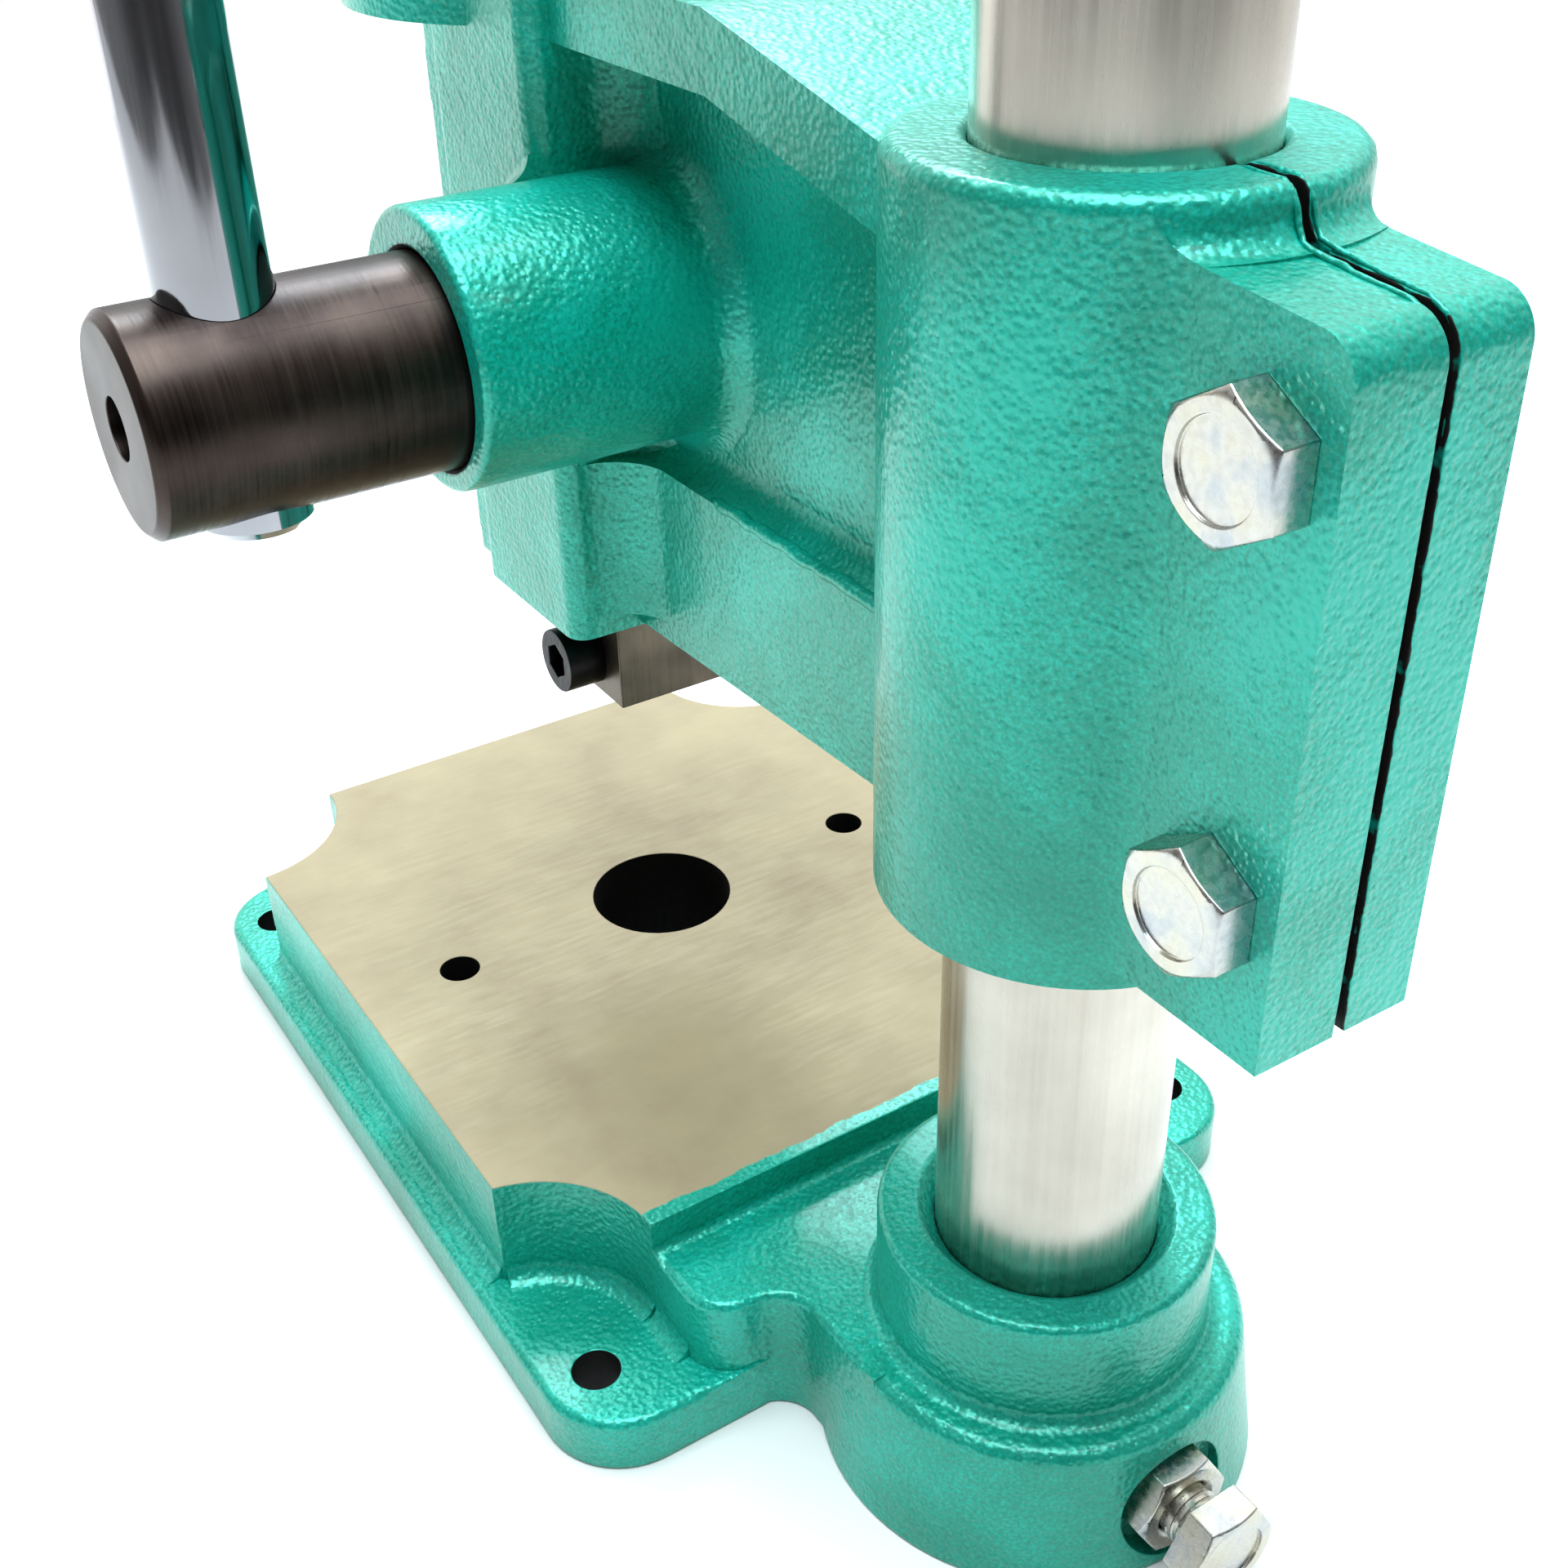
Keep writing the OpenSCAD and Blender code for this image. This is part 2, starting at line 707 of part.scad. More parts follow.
// The bearing boss on both sides of the head, blended into the web and the block,
// with the round seat of the spring cup at its far end
module bearing_boss() {
  at_pinion() bar_x(-spring_end, cup_seat_t - spring_end, cup_flange_r);
  at_pinion() translate([0, 0, boss_rise]) {
    bar_x(-spring_end, bearing_end, bearing_r);
    both_sides() rotate([0, 90, 0]) translate([0, 0, web_half_t]) rotate_extrude()
      translate([bearing_r, 0]) corner_fill(web_fillet_r);
  }
  intersection() {
    at_pinion() translate([0, 0, boss_rise]) rotate([0, 90, 0]) translate([0, 0, half_block]) rotate_extrude()
      translate([bearing_r, 0]) corner_fill(boss_fillet_r);
    translate([0, 0, block_z]) linear_extrude(block_h)
      round_box([0, -block_half_d], [half_block + boss_fillet_r, block_half_d - boss_fillet_end],
                block_edge_r + boss_fillet_r);
  }
}

// The ram's channel: open to the front under the flange, and a window through the flange
module ram_channel() {
  translate([-channel_half, -block_half_d - over, block_z - over])
    cube([2 * channel_half, block_half_d + over + channel_half, block_h + over]);
  translate([-channel_half, -block_half_d, top_z - over])
    cube([2 * channel_half, block_half_d + channel_half, top_t + 2 * over]);
}

module shaft_bore() {
  at_pinion() {
    bar_x(shaft_step_x - seat_gap, bearing_end + over, shaft_r + run_gap);
    bar_x(-spring_end - over, 0, small_journal_r + run_gap);
    translate([bearing_end - mouth_chamfer, 0, 0]) rotate([0, 90, 0])
      cylinder(r1 = shaft_r + run_gap, r2 = shaft_r + run_gap + mouth_chamfer + over, h = mouth_chamfer + over);
    for (i = [0:cup_screw_count - 1]) rotate([(i + 0.5) * cup_screw_step, 0, 0])
      translate([0, 0, cup_flange_r - cup_flange_w / 2])
        bar_x(-spring_end - over, cup_screw_l - spring_end, cup_screw_d / 2 + fit_gap);
  }
}

module column_bore() {
  translate([0, throat, 0]) {
    translate([0, 0, clamp_z - over]) cylinder(r = bore_r, h = clamp_h + 2 * over);
    translate([0, 0, clamp_top - mouth_chamfer])
      cylinder(r1 = bore_r, r2 = bore_r + mouth_chamfer + over, h = mouth_chamfer + over);
    translate([-slot_w / 2, 0, clamp_z - over]) cube([slot_w, lug_rear + over, clamp_h + 2 * over]);
  }
}

module head_casting() color(paint) difference() {
  union() {
    guide_block();
    head_flange();
    arm();
    clamp_body();
    bearing_boss();
  }
  ram_channel();
  shaft_bore();
  column_bore();
  for (z = clamp_bolt_zs) translate([0, clamp_bolt_y, z])
    bar_x(-lug_far_t - over, lug_near_t + over, bolt_d / 2 + fit_gap);
  for (s = [-1, 1]) {
    for (f = cover_screw_shares) translate([s * cover_screw_x, 0, cover_z + f * cover_h])
      bar_y(-block_half_d - over, cover_thread_l - block_half_d, screw_d / 2 + fit_gap);
    for (y = stop_screw_ys) translate([s * stop_screw_x, y, top_face - stop_thread_l])
      cylinder(d = screw_d + 2 * fit_gap, h = stop_thread_l + over);
  }
}

module clamp_bolts() color(zinc) for (z = clamp_bolt_zs) translate([lug_near_t, clamp_bolt_y, z])
  rotate([0, 90, 0]) hex_bolt(bolt_d, bolt_af, bolt_head_h, lug_near_t + lug_far_t - thread_end_gap);

// Front cover, gib and their screws

module front_cover() color(paint) difference() {
  translate([-cover_half_w, -cover_front, cover_z]) cube([2 * cover_half_w, cover_t, cover_h]);
  for (s = [-1, 1], f = cover_screw_shares) translate([s * cover_screw_x, -cover_front, cover_z + f * cover_h]) {
    bar_y(-over, cover_t + over, screw_d / 2 + fit_gap);
    rotate([90, 0, 0]) sunk_cone(screw_d, fit_gap);
  }
  for (f = gib_screw_shares) translate([0, -cover_front, cover_z + f * cover_h])
    bar_y(-over, cover_t + over, gib_screw_d / 2 + fit_gap);
}

module cover_screws() color(black)
  for (s = [-1, 1], f = cover_screw_shares) translate([s * cover_screw_x, -cover_front, cover_z + f * cover_h])
    rotate([90, 0, 0]) sunk_screw(screw_d, cover_t + cover_thread_l - thread_end_gap);

module gib_strip() color(steel)
  translate([-half_ram, -gib_front, cover_z]) cube([ram_w, gib_t, cover_h]);

module gib_screws() color(black) for (f = gib_screw_shares)
  translate([0, -gib_front, cover_z + f * cover_h]) rotate([90, 0, 0])
    set_screw(gib_screw_d, cover_front - gib_front + gib_screw_tail_share * gib_screw_d,
              gib_screw_d / 2, gib_screw_d / 2);

module gib_lock_nuts() color(zinc) for (f = gib_screw_shares)
  translate([0, -cover_front, cover_z + f * cover_h]) rotate([90, 0, 0])
    hex_nut(gib_screw_d, small_nut_af_share * gib_screw_d, small_nut_h_share * gib_screw_d);

// Pinion shaft, cut from one bar

// Half the angle that a tooth fills at radius r
function tooth_half_angle(r) = 90 / pinion_teeth - tooth_backlash / (2 * pitch_r) * 180 / PI
  + involute(pressure_angle) - involute(acos(min(1, pinion_base_r / r)));

// The involute of an angle, both in degrees
function involute(a) = tan(a) * 180 / PI - a;

function flank_r(i) = pinion_base_r + (pinion_tip_r - pinion_base_r) * i / flank_steps;

function on_ring(r, a) = [r * cos(a), r * sin(a)];

module pinion_outline() {
  up = [for (i = [0:flank_steps]) flank_r(i)];
  down = [for (i = [flank_steps:-1:0]) flank_r(i)];
  foot_angle = tooth_half_angle(pinion_base_r);
  polygon([for (t = [0:pinion_teeth - 1]) let (mid = t * 360 / pinion_teeth) each concat(
    [on_ring(pinion_root_r, mid - foot_angle)],
    [for (r = up) on_ring(r, mid - tooth_half_angle(r))],
    [for (r = down) on_ring(r, mid + tooth_half_angle(r))],
    [on_ring(pinion_root_r, mid + foot_angle)]
  )]);
}

module pinion_shaft() color(oiled) at_pinion() difference() {
  union() {
    side_slab(shaft_step_x, half_ram + run_gap) pinion_outline();
    bar_x(half_ram + run_gap, hub_end - hub_chamfer, shaft_r);
    translate([hub_end - hub_chamfer, 0, 0]) rotate([0, 90, 0])
      cylinder(r1 = shaft_r, r2 = shaft_r - hub_chamfer, h = hub_chamfer);
    bar_x(-spring_end - seat_gap, shaft_step_x, small_journal_r);
    bar_x(cup_outer_x - seat_gap, -spring_end, spring_arbor_r);
    bar_x(cup_outer_x - 2 * shaft_nut_h - shaft_tail, -spring_end, shaft_nut_d / 2);
  }
  translate([lever_x, 0, 0]) rotate([lever_lean, 0, 0])
    translate([0, 0, -2 * shaft_r]) cylinder(r = lever_r + run_gap, h = 4 * shaft_r);
  bar_x(lever_x, hub_end + over, grub_d / 2 + fit_gap);
}

module lever_grub_screw() color(black) at_pinion() {
  start = lever_x + lever_r + 2 * run_gap;
  translate([start, 0, 0]) rotate([0, 90, 0])
    set_screw(grub_d, hub_end - grub_inset - start, grub_socket_af, grub_socket_h);
}

module shaft_nuts() color(zinc) at_pinion() for (i = [0, 1])
  translate([cup_outer_x - seat_gap - i * (shaft_nut_h + run_gap), 0, 0]) rotate([0, -90, 0])
    hex_nut(shaft_nut_d, shaft_nut_af, shaft_nut_h);

// The lever's own line: Z points up along the rod
module at_lever() {
  translate([lever_x, pinion_y, pinion_z]) rotate([lever_lean, 0, 0]) children();
}

module lever_rod() color(chrome) at_lever() {
  foot = -shaft_r - lever_foot;
  chamfer = column_chamfer;
  translate([0, 0, foot]) cylinder(r1 = lever_r - chamfer, r2 = lever_r, h = chamfer);
  translate([0, 0, foot + chamfer]) cylinder(r = lever_r, h = lever_l - foot - chamfer);
  translate([0, 0, lever_l - chamfer]) cylinder(r = knob_tang_r, h = knob_tang_l + chamfer);
}

module lever_knob() color(black) at_lever() difference() {
  translate([0, 0, knob_center]) sphere(knob_r);
  translate([0, 0, -over]) cylinder(r = knob_r, h = lever_l + over);
  translate([0, 0, lever_l - over]) cylinder(r = knob_tang_r + fit_gap, h = knob_tang_l + 2 * over);
}

// Return spring

module spring_cup() color(steel) at_pinion() difference() {
  union() {
    bar_x(cup_outer_x, -spring_end, cup_r);
    bar_x(-spring_end - cup_flange_t, -spring_end, cup_flange_r);
  }
  bar_x(cup_outer_x + cup_t, -spring_end + over, cup_r - cup_t);
  bar_x(cup_outer_x - over, -spring_end, spring_arbor_r + seat_gap);
  for (i = [0:cup_screw_count - 1]) rotate([(i + 0.5) * cup_screw_step, 0, 0])
    translate([0, 0, cup_flange_r - cup_flange_w / 2])
      bar_x(-spring_end - cup_flange_t - over, -spring_end + over, cup_screw_d / 2 + fit_gap);
}

module cup_screws() color(zinc) at_pinion()
  for (i = [0:cup_screw_count - 1]) rotate([(i + 0.5) * cup_screw_step, 0, 0])
    translate([-spring_end - cup_flange_t, 0, cup_flange_r - cup_flange_w / 2]) rotate([0, -90, 0])
      cap_screw(cup_screw_d, cup_screw_l);

function spiral_r(i) = spring_inner_r
  + (spring_outer_r - spring_t - spring_inner_r) * i / (spring_turns * spring_steps);

module return_spring() color(steel) at_pinion() {
  last = spring_turns * spring_steps;
  side_slab(cup_outer_x + cup_t + spring_side_gap, -spring_end - spring_side_gap)
    polygon(concat(
      [for (i = [0:last]) on_ring(spiral_r(i), i * 360 / spring_steps)],
      [for (i = [last:-1:0]) on_ring(spiral_r(i) + spring_t, i * 360 / spring_steps)]
    ));
}

// Ram and depth stop

// The spaces between the rack's teeth, one of them level with the pinion's axis
module rack_spaces() {
  last = floor((ram_top - pinion_z) / tooth_pitch);
  half_space = tooth_pitch / 4;
  root_half = half_space - (rack_pitch_y - rack_root_y) * tan(pressure_angle);
  mouth_y = half_ram + over;
  mouth_half = half_space + (mouth_y - rack_pitch_y) * tan(pressure_angle);
  for (k = [-rack_lead:last]) translate([0, 0, pinion_z + k * tooth_pitch])
    side_slab(-half_ram - over, half_ram + over)
      polygon([[rack_root_y, -root_half], [mouth_y, -mouth_half], [mouth_y, mouth_half], [rack_root_y, root_half]]);
}

module ram() color(oiled) difference() {
  translate([-half_ram, -half_ram, ram_z]) cube([ram_w, ram_w, ram_l]);
  rack_spaces();
  translate([0, 0, ram_z - over]) cylinder(d = tool_bore_d, h = tool_bore_h + over);
  translate([0, 0, ram_z + tool_screw_rise]) bar_x(0, half_ram + over, tool_screw_r + fit_gap);
  translate([0, 0, ram_top - stop_rod_depth]) cylinder(r = stop_rod_r + fit_gap, h = stop_rod_depth + over);
}

module tool_clamp_screw() color(black) translate([half_ram, 0, ram_z + tool_screw_rise]) rotate([0, 90, 0])
  cap_screw(2 * tool_screw_r, half_ram - tool_bore_d / 2);

module stop_plate() color(paint) difference() {
  translate([-stop_plate_half, -stop_plate_front, top_face])
    cube([2 * stop_plate_half, stop_plate_front + stop_plate_rear, stop_plate_t]);
  translate([0, 0, top_face - over]) cylinder(r = stop_rod_r + seat_gap, h = stop_plate_t + 2 * over);
  for (s = [-1, 1], y = stop_screw_ys) translate([s * stop_screw_x, y, top_face - over])
    cylinder(d = screw_d + 2 * fit_gap, h = stop_plate_t + 2 * over);
}

module stop_plate_screws() color(black) for (s = [-1, 1], y = stop_screw_ys)
  translate([s * stop_screw_x, y, stop_plate_top]) cap_screw(screw_d, stop_plate_t + stop_thread_l - thread_end_gap);

module stop_rod() color(steel) {
  rod_top = stop_nut_z + stop_nut_h + stop_lock_nut_h + stop_spare;
  translate([0, 0, ram_top - stop_rod_depth]) cylinder(r = stop_rod_r, h = rod_top - ram_top + stop_rod_depth);
}

module stop_nut() color(zinc) translate([0, 0, stop_nut_z]) hex_nut(stop_rod_d, stop_nut_af, stop_nut_h);

module stop_lock_nut() color(zinc) translate([0, 0, stop_nut_z + stop_nut_h])
  hex_nut(stop_rod_d, stop_nut_af, stop_lock_nut_h);

base_casting();
column();
column_set_bolt();
column_lock_nut();
head_casting();
clamp_bolts();
front_cover();
cover_screws();
gib_strip();
gib_screws();
gib_lock_nuts();
spring_cup();
cup_screws();
return_spring();
stop_plate();
stop_plate_screws();
pinion_shaft();
shaft_nuts();
lever_grub_screw();
lever_rod();
lever_knob();
ram();
tool_clamp_screw();
stop_rod();
stop_nut();
stop_lock_nut();
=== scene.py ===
# Lever hole punch: hammered teal castings on a chromed column, a rack and pinion head and a lever
import json
import math
import random

import bmesh
import bpy
from mathutils import Matrix, Vector
from mathutils.bvhtree import BVHTree
from mathutils.kdtree import KDTree


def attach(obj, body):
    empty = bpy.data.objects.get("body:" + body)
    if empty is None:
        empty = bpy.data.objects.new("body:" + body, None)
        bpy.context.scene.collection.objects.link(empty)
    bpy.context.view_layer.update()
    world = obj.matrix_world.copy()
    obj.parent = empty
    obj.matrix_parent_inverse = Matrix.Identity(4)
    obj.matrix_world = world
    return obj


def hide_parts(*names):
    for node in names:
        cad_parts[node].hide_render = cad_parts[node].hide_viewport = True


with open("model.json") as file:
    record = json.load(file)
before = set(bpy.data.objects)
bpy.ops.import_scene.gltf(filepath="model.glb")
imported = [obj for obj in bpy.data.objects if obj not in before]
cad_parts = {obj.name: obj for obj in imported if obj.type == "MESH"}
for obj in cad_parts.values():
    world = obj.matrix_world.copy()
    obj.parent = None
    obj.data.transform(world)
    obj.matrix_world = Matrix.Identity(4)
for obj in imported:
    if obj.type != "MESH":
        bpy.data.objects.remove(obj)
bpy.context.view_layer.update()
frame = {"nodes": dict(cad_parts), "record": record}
mm = 0.001
bodyOf = {node: body for body, nodes in frame["record"]["behaviour"]["bodies"].items() for node in nodes}


# Places that several pieces share, in millimetres

throat = 135            # the column's axis behind the ram's axis
columnBore = 19.05      # radius of the bores that take the column
tableTop = 36
socketMouth = 51        # just under the socket ring's top
sawCutStart = 153       # Y from which the clamp is sawn
pinion = (26.7, 179.5)  # Y and Z of the shaft's axis
# X, Y and radius of the die hole, a die tap, a front and a rear lug hole; the -X half is their mirror image
baseHoles = ((0, 0, 15.5), (50, 0, 4.25), (68.5, -73.5, 4.5), (68.5, 93.5, 4.5))


# Colours and nodes

def linear(hexText):
    # sRGB hex to the linear values that shaders work in
    parts = [int(hexText[i:i + 2], 16) / 255 for i in (1, 3, 5)]
    return [c / 12.92 if c <= 0.04045 else ((c + 0.055) / 1.055) ** 2.4 for c in parts] + [1.0]


def grey(value):
    return (value, value, value, 1.0)


def addNode(tree, kind, settings=None, links=None):
    # settings are properties, or inputs by name or number; links are inputs fed by (node, output)
    made = tree.nodes.new(kind)
    for key, value in (settings or {}).items():
        if isinstance(key, str) and hasattr(made, key):
            setattr(made, key, value)
        else:
            made.inputs[key].default_value = value
    for key, (source, output) in (links or {}).items():
        tree.links.new(source.outputs[output], made.inputs[key])
    return made


def startMaterial(name):
    material = bpy.data.materials.new(name)
    material.use_nodes = True
    tree = material.node_tree
    tree.nodes.clear()
    return material, tree, addNode(tree, "ShaderNodeTexCoord")


def finishMaterial(tree, shader):
    addNode(tree, "ShaderNodeOutputMaterial", None, {"Surface": (shader, 0)})


def ramp(tree, source, stops):
    # stops are (position, linear colour)
    made = addNode(tree, "ShaderNodeValToRGB", None, {"Fac": source})
    elements = made.color_ramp.elements
    while len(elements) < len(stops):
        elements.new(0.5)
    for element, (position, colour) in zip(elements, stops):
        element.position = position
        element.color = colour
    return made


def perMillimetre(size):
    # a texture's scale for features of that size in millimetres
    return 1000 / size


# Materials of the castings

enamel = {
    "shade": "#008771", "body": "#009e87", "bloom": "#08b5a0",
    "dimple": 1.05,       # one hammered dimple, mm
    "swell": 5.25,        # slow waves under the dimples
    "swellShare": 1.4,    # the waves' height against the dimples'
    "relief": 0.36, "reliefStrength": 0.75,
    "flake": 0.6,         # aluminium flake, drawn coarse enough to show
    "flakeShare": 0.7,    # the flake's tone against the drift's
    "drift": 40,          # slow change of tone over a casting
    "metallic": 0.3, "roughness": 0.35, "coat": 0.22, "coatRoughness": 0.12,
}


def hammeredEnamel(tree, coords):
    # stove enamel with aluminium flake: small soft dimples that break up every highlight
    flake = addNode(tree, "ShaderNodeTexNoise", {"Scale": perMillimetre(enamel["flake"]), "Detail": 3.0},
                    {"Vector": (coords, "Object")})
    drift = addNode(tree, "ShaderNodeTexNoise", {"Scale": perMillimetre(enamel["drift"]), "Detail": 3.0},
                    {"Vector": (coords, "Object")})
    blend = addNode(tree, "ShaderNodeMath", {"operation": "MULTIPLY_ADD", 1: enamel["flakeShare"]},
                    {0: (flake, "Fac"), 2: (drift, "Fac")})
    colour = ramp(tree, (blend, 0), [(0.62, linear(enamel["shade"])), (0.85, linear(enamel["body"])),
                                     (1.0, linear(enamel["bloom"]))])
    dimples = addNode(tree, "ShaderNodeTexVoronoi",
                      {"feature": "SMOOTH_F1", "Smoothness": 1.0, "Scale": perMillimetre(enamel["dimple"])},
                      {"Vector": (coords, "Object")})
    swell = addNode(tree, "ShaderNodeTexNoise", {"Scale": perMillimetre(enamel["swell"]), "Detail": 4.0},
                    {"Vector": (coords, "Object")})
    height = addNode(tree, "ShaderNodeMath", {"operation": "MULTIPLY_ADD", 1: enamel["swellShare"]},
                     {0: (swell, "Fac"), 2: (dimples, "Distance")})
    bump = addNode(tree, "ShaderNodeBump",
                   {"Strength": enamel["reliefStrength"], "Distance": enamel["relief"] * mm},
                   {"Height": (height, 0)})
    return addNode(tree, "ShaderNodeBsdfPrincipled", {
        "Metallic": enamel["metallic"], "Roughness": enamel["roughness"],
        "Coat Weight": enamel["coat"], "Coat Roughness": enamel["coatRoughness"],
    }, {"Base Color": (colour, 0), "Normal": (bump, 0)})


groundIron = {
    "pale": "#a89a79", "mid": "#9e9072", "stain": "#918265",
    "grain": 1.1, "grainStretch": 0.12,     # grinding marks, longer along X
    "cloud": 34,                            # oil stains
    "metallic": 0.1, "specular": 0.3, "rough": (0.5, 0.66),
}


def groundCastIron(tree, coords):
    # grey iron, ground flat and faintly yellowed with oil: a dull face with soft stains
    cloud = addNode(tree, "ShaderNodeTexNoise",
                    {"Scale": perMillimetre(groundIron["cloud"]), "Detail": 6.0, "Roughness": 0.6},
                    {"Vector": (coords, "Object")})
    colour = ramp(tree, (cloud, "Fac"), [(0.28, linear(groundIron["stain"])),
                                         (0.46, linear(groundIron["mid"])),
                                         (0.68, linear(groundIron["pale"]))])
    stretch = addNode(tree, "ShaderNodeMapping", {"Scale": (groundIron["grainStretch"], 1.0, 1.0)},
                      {"Vector": (coords, "Object")})
    grain = addNode(tree, "ShaderNodeTexNoise", {"Scale": perMillimetre(groundIron["grain"]), "Detail": 4.0},
                    {"Vector": (stretch, 0)})
    bump = addNode(tree, "ShaderNodeBump", {"Strength": 0.1, "Distance": 0.1 * mm},
                   {"Height": (grain, "Fac")})
    smooth, dull = groundIron["rough"]
    rough = ramp(tree, (grain, "Fac"), [(0.3, grey(smooth)), (0.7, grey(dull))])
    return addNode(tree, "ShaderNodeBsdfPrincipled",
                   {"Metallic": groundIron["metallic"], "Specular IOR Level": groundIron["specular"]},
                   {"Base Color": (colour, 0), "Roughness": (rough, 0), "Normal": (bump, 0)})


def bareIronPaintedShade(tree, coords):
    # bare drilled or sawn iron, drawn near-black as painted shade deep in the bores and the narrow saw cut
    pits = addNode(tree, "ShaderNodeTexNoise", {"Scale": perMillimetre(1.5), "Detail": 3.0},
                   {"Vector": (coords, "Object")})
    colour = ramp(tree, (pits, "Fac"), [(0.35, linear("#0b0a09")), (0.7, linear("#1c1713"))])
    return addNode(tree, "ShaderNodeBsdfPrincipled", {"Metallic": 0.4, "Roughness": 0.62},
                   {"Base Color": (colour, 0)})


def step(tree, source, edge, soft):
    # 0 below the edge and 1 above it, both in millimetres
    return addNode(tree, "ShaderNodeMapRange",
                   {"From Min": (edge - soft) * mm, "From Max": (edge + soft) * mm}, {"Value": source})


def combine(tree, operation, first, second):
    return addNode(tree, "ShaderNodeMath", {"operation": operation}, {0: first, 1: second})


def wells(tree, coords, holes):
    # 1 inside any of the holes, the mask of their painted shade, given as (axis, middle of the hole, radius)
    # in millimetres;
    # the +X half serves for both, since the pattern is read at the absolute X
    mirrored = addNode(tree, "ShaderNodeVectorMath", {"operation": "ABSOLUTE"}, {0: (coords, "Object")})
    whole = addNode(tree, "ShaderNodeVectorMath", {"operation": "MULTIPLY_ADD", 1: (0, 1, 1)},
                    {0: (coords, "Object")})
    across = addNode(tree, "ShaderNodeVectorMath", {"operation": "MULTIPLY_ADD", 1: (1, 0, 0)},
                     {0: (mirrored, 0), 2: (whole, 0)})
    beyond, softness = 0.02, 0.04       # the dark starts just outside the wall
    total = None
    for axis, middle, radius in holes:
        keep = tuple(0 if "XYZ"[i] == axis else 1 for i in range(3))
        flat = addNode(tree, "ShaderNodeVectorMath", {"operation": "MULTIPLY", 1: keep}, {0: (across, 0)})
        place = tuple(m * mm * k for m, k in zip(middle, keep))
        far = addNode(tree, "ShaderNodeVectorMath", {"operation": "DISTANCE", 1: place}, {0: (flat, 0)})
        inside = addNode(tree, "ShaderNodeMapRange",
                         {"From Min": (radius + beyond + softness) * mm, "From Max": (radius + beyond) * mm},
                         {"Value": (far, "Value")})
        total = inside if total is None else combine(tree, "MAXIMUM", (total, 0), (inside, 0))
    return total


paintedEdge = {
    "wobble": 7, "wander": 3.0, "rear": 87.6,       # the paint's edge on the table's rear strip
    "slotShadeWobble": 3.5, "slotShadeWander": 0.9, "slotShadeEdge": 1.4, "slotShadeSoft": 0.05,     # the ragged edge of the painted shade along the saw cut
}


def paintedBase():
    material, tree, coords = startMaterial("hammeredEnamelOverGroundIron")
    paint = hammeredEnamel(tree, coords)
    iron = groundCastIron(tree, coords)
    bareAndShaded = bareIronPaintedShade(tree, coords)
    place = addNode(tree, "ShaderNodeSeparateXYZ", None, {0: (coords, "Object")})
    # the paint's edge wanders a little on the table's rear strip
    wobble = addNode(tree, "ShaderNodeTexNoise",
                     {"Scale": perMillimetre(paintedEdge["wobble"]), "Detail": 3.0},
                     {"Vector": (coords, "Object")})
    wander = addNode(tree, "ShaderNodeMath", {"operation": "MULTIPLY_ADD", 1: paintedEdge["wander"] * mm},
                     {0: (wobble, "Fac"), 2: (place, "Y")})
    onTop = step(tree, (place, "Z"), tableTop - 0.25, 0.1)
    behind = step(tree, (wander, 0), paintedEdge["rear"], 0.25)
    ground = combine(tree, "SUBTRACT", (onTop, 0), (behind, 0))
    ground.use_clamp = True
    ground = combine(tree, "MULTIPLY", (ground, 0), (onTop, 0))
    above = step(tree, (place, "Z"), socketMouth, 0.2)
    # painted shade: the die hole, the taps, the lug holes and the column's socket are drawn near-black
    # inside, below the socket's mouth
    dark = wells(tree, coords, [("Z", (x, y, 0), radius) for x, y, radius in baseHoles]
                 + [("Z", (0, throat, 0), columnBore)])
    dark = combine(tree, "SUBTRACT", (dark, 0), (above, 0))
    mixed = addNode(tree, "ShaderNodeMixShader", None, {0: (ground, 0), 1: (paint, 0), 2: (iron, 0)})
    finished = addNode(tree, "ShaderNodeMixShader", None, {0: (dark, 0), 1: (mixed, 0), 2: (bareAndShaded, 0)})
    finishMaterial(tree, finished)
    return material


def paintedHead():
    material, tree, coords = startMaterial("hammeredEnamelOverCastIron")
    paint = hammeredEnamel(tree, coords)
    bareAndShaded = bareIronPaintedShade(tree, coords)
    place = addNode(tree, "ShaderNodeSeparateXYZ", None, {0: (coords, "Object")})
    aside = addNode(tree, "ShaderNodeMath", {"operation": "ABSOLUTE"}, {0: (place, "X")})
    # painted shade of the narrow saw cut: its walls and a ragged band along its edges are drawn near-black
    slotShadeNoise = addNode(tree, "ShaderNodeTexNoise", {"Scale": perMillimetre(paintedEdge["slotShadeWobble"]), "Detail": 2.0},
                    {"Vector": (coords, "Object")})
    ragged = addNode(tree, "ShaderNodeMath", {"operation": "MULTIPLY_ADD", 1: paintedEdge["slotShadeWander"] * mm},
                     {0: (slotShadeNoise, "Fac"), 2: (aside, 0)})
    slotShadeBand = step(tree, (ragged, 0), paintedEdge["slotShadeEdge"], -paintedEdge["slotShadeSoft"])
    rear = step(tree, (place, "Y"), sawCutStart, 0.5)
    cut = combine(tree, "MULTIPLY", (slotShadeBand, 0), (rear, 0))
    # the column's bore and the bearing's bore are bare iron, drawn near-black as painted shade
    dark = wells(tree, coords, [("Z", (0, throat, 0), columnBore), ("X", (0, *pinion), 18.8)])
    dark = combine(tree, "MAXIMUM", (dark, 0), (cut, 0))
    finished = addNode(tree, "ShaderNodeMixShader", None, {0: (dark, 0), 1: (paint, 0), 2: (bareAndShaded, 0)})
    finishMaterial(tree, finished)
    return material


def paintedPlate():
    material, tree, coords = startMaterial("hammeredEnamelOverSteelPlate")
    finishMaterial(tree, hammeredEnamel(tree, coords))
    return material


# Materials of the metal pieces

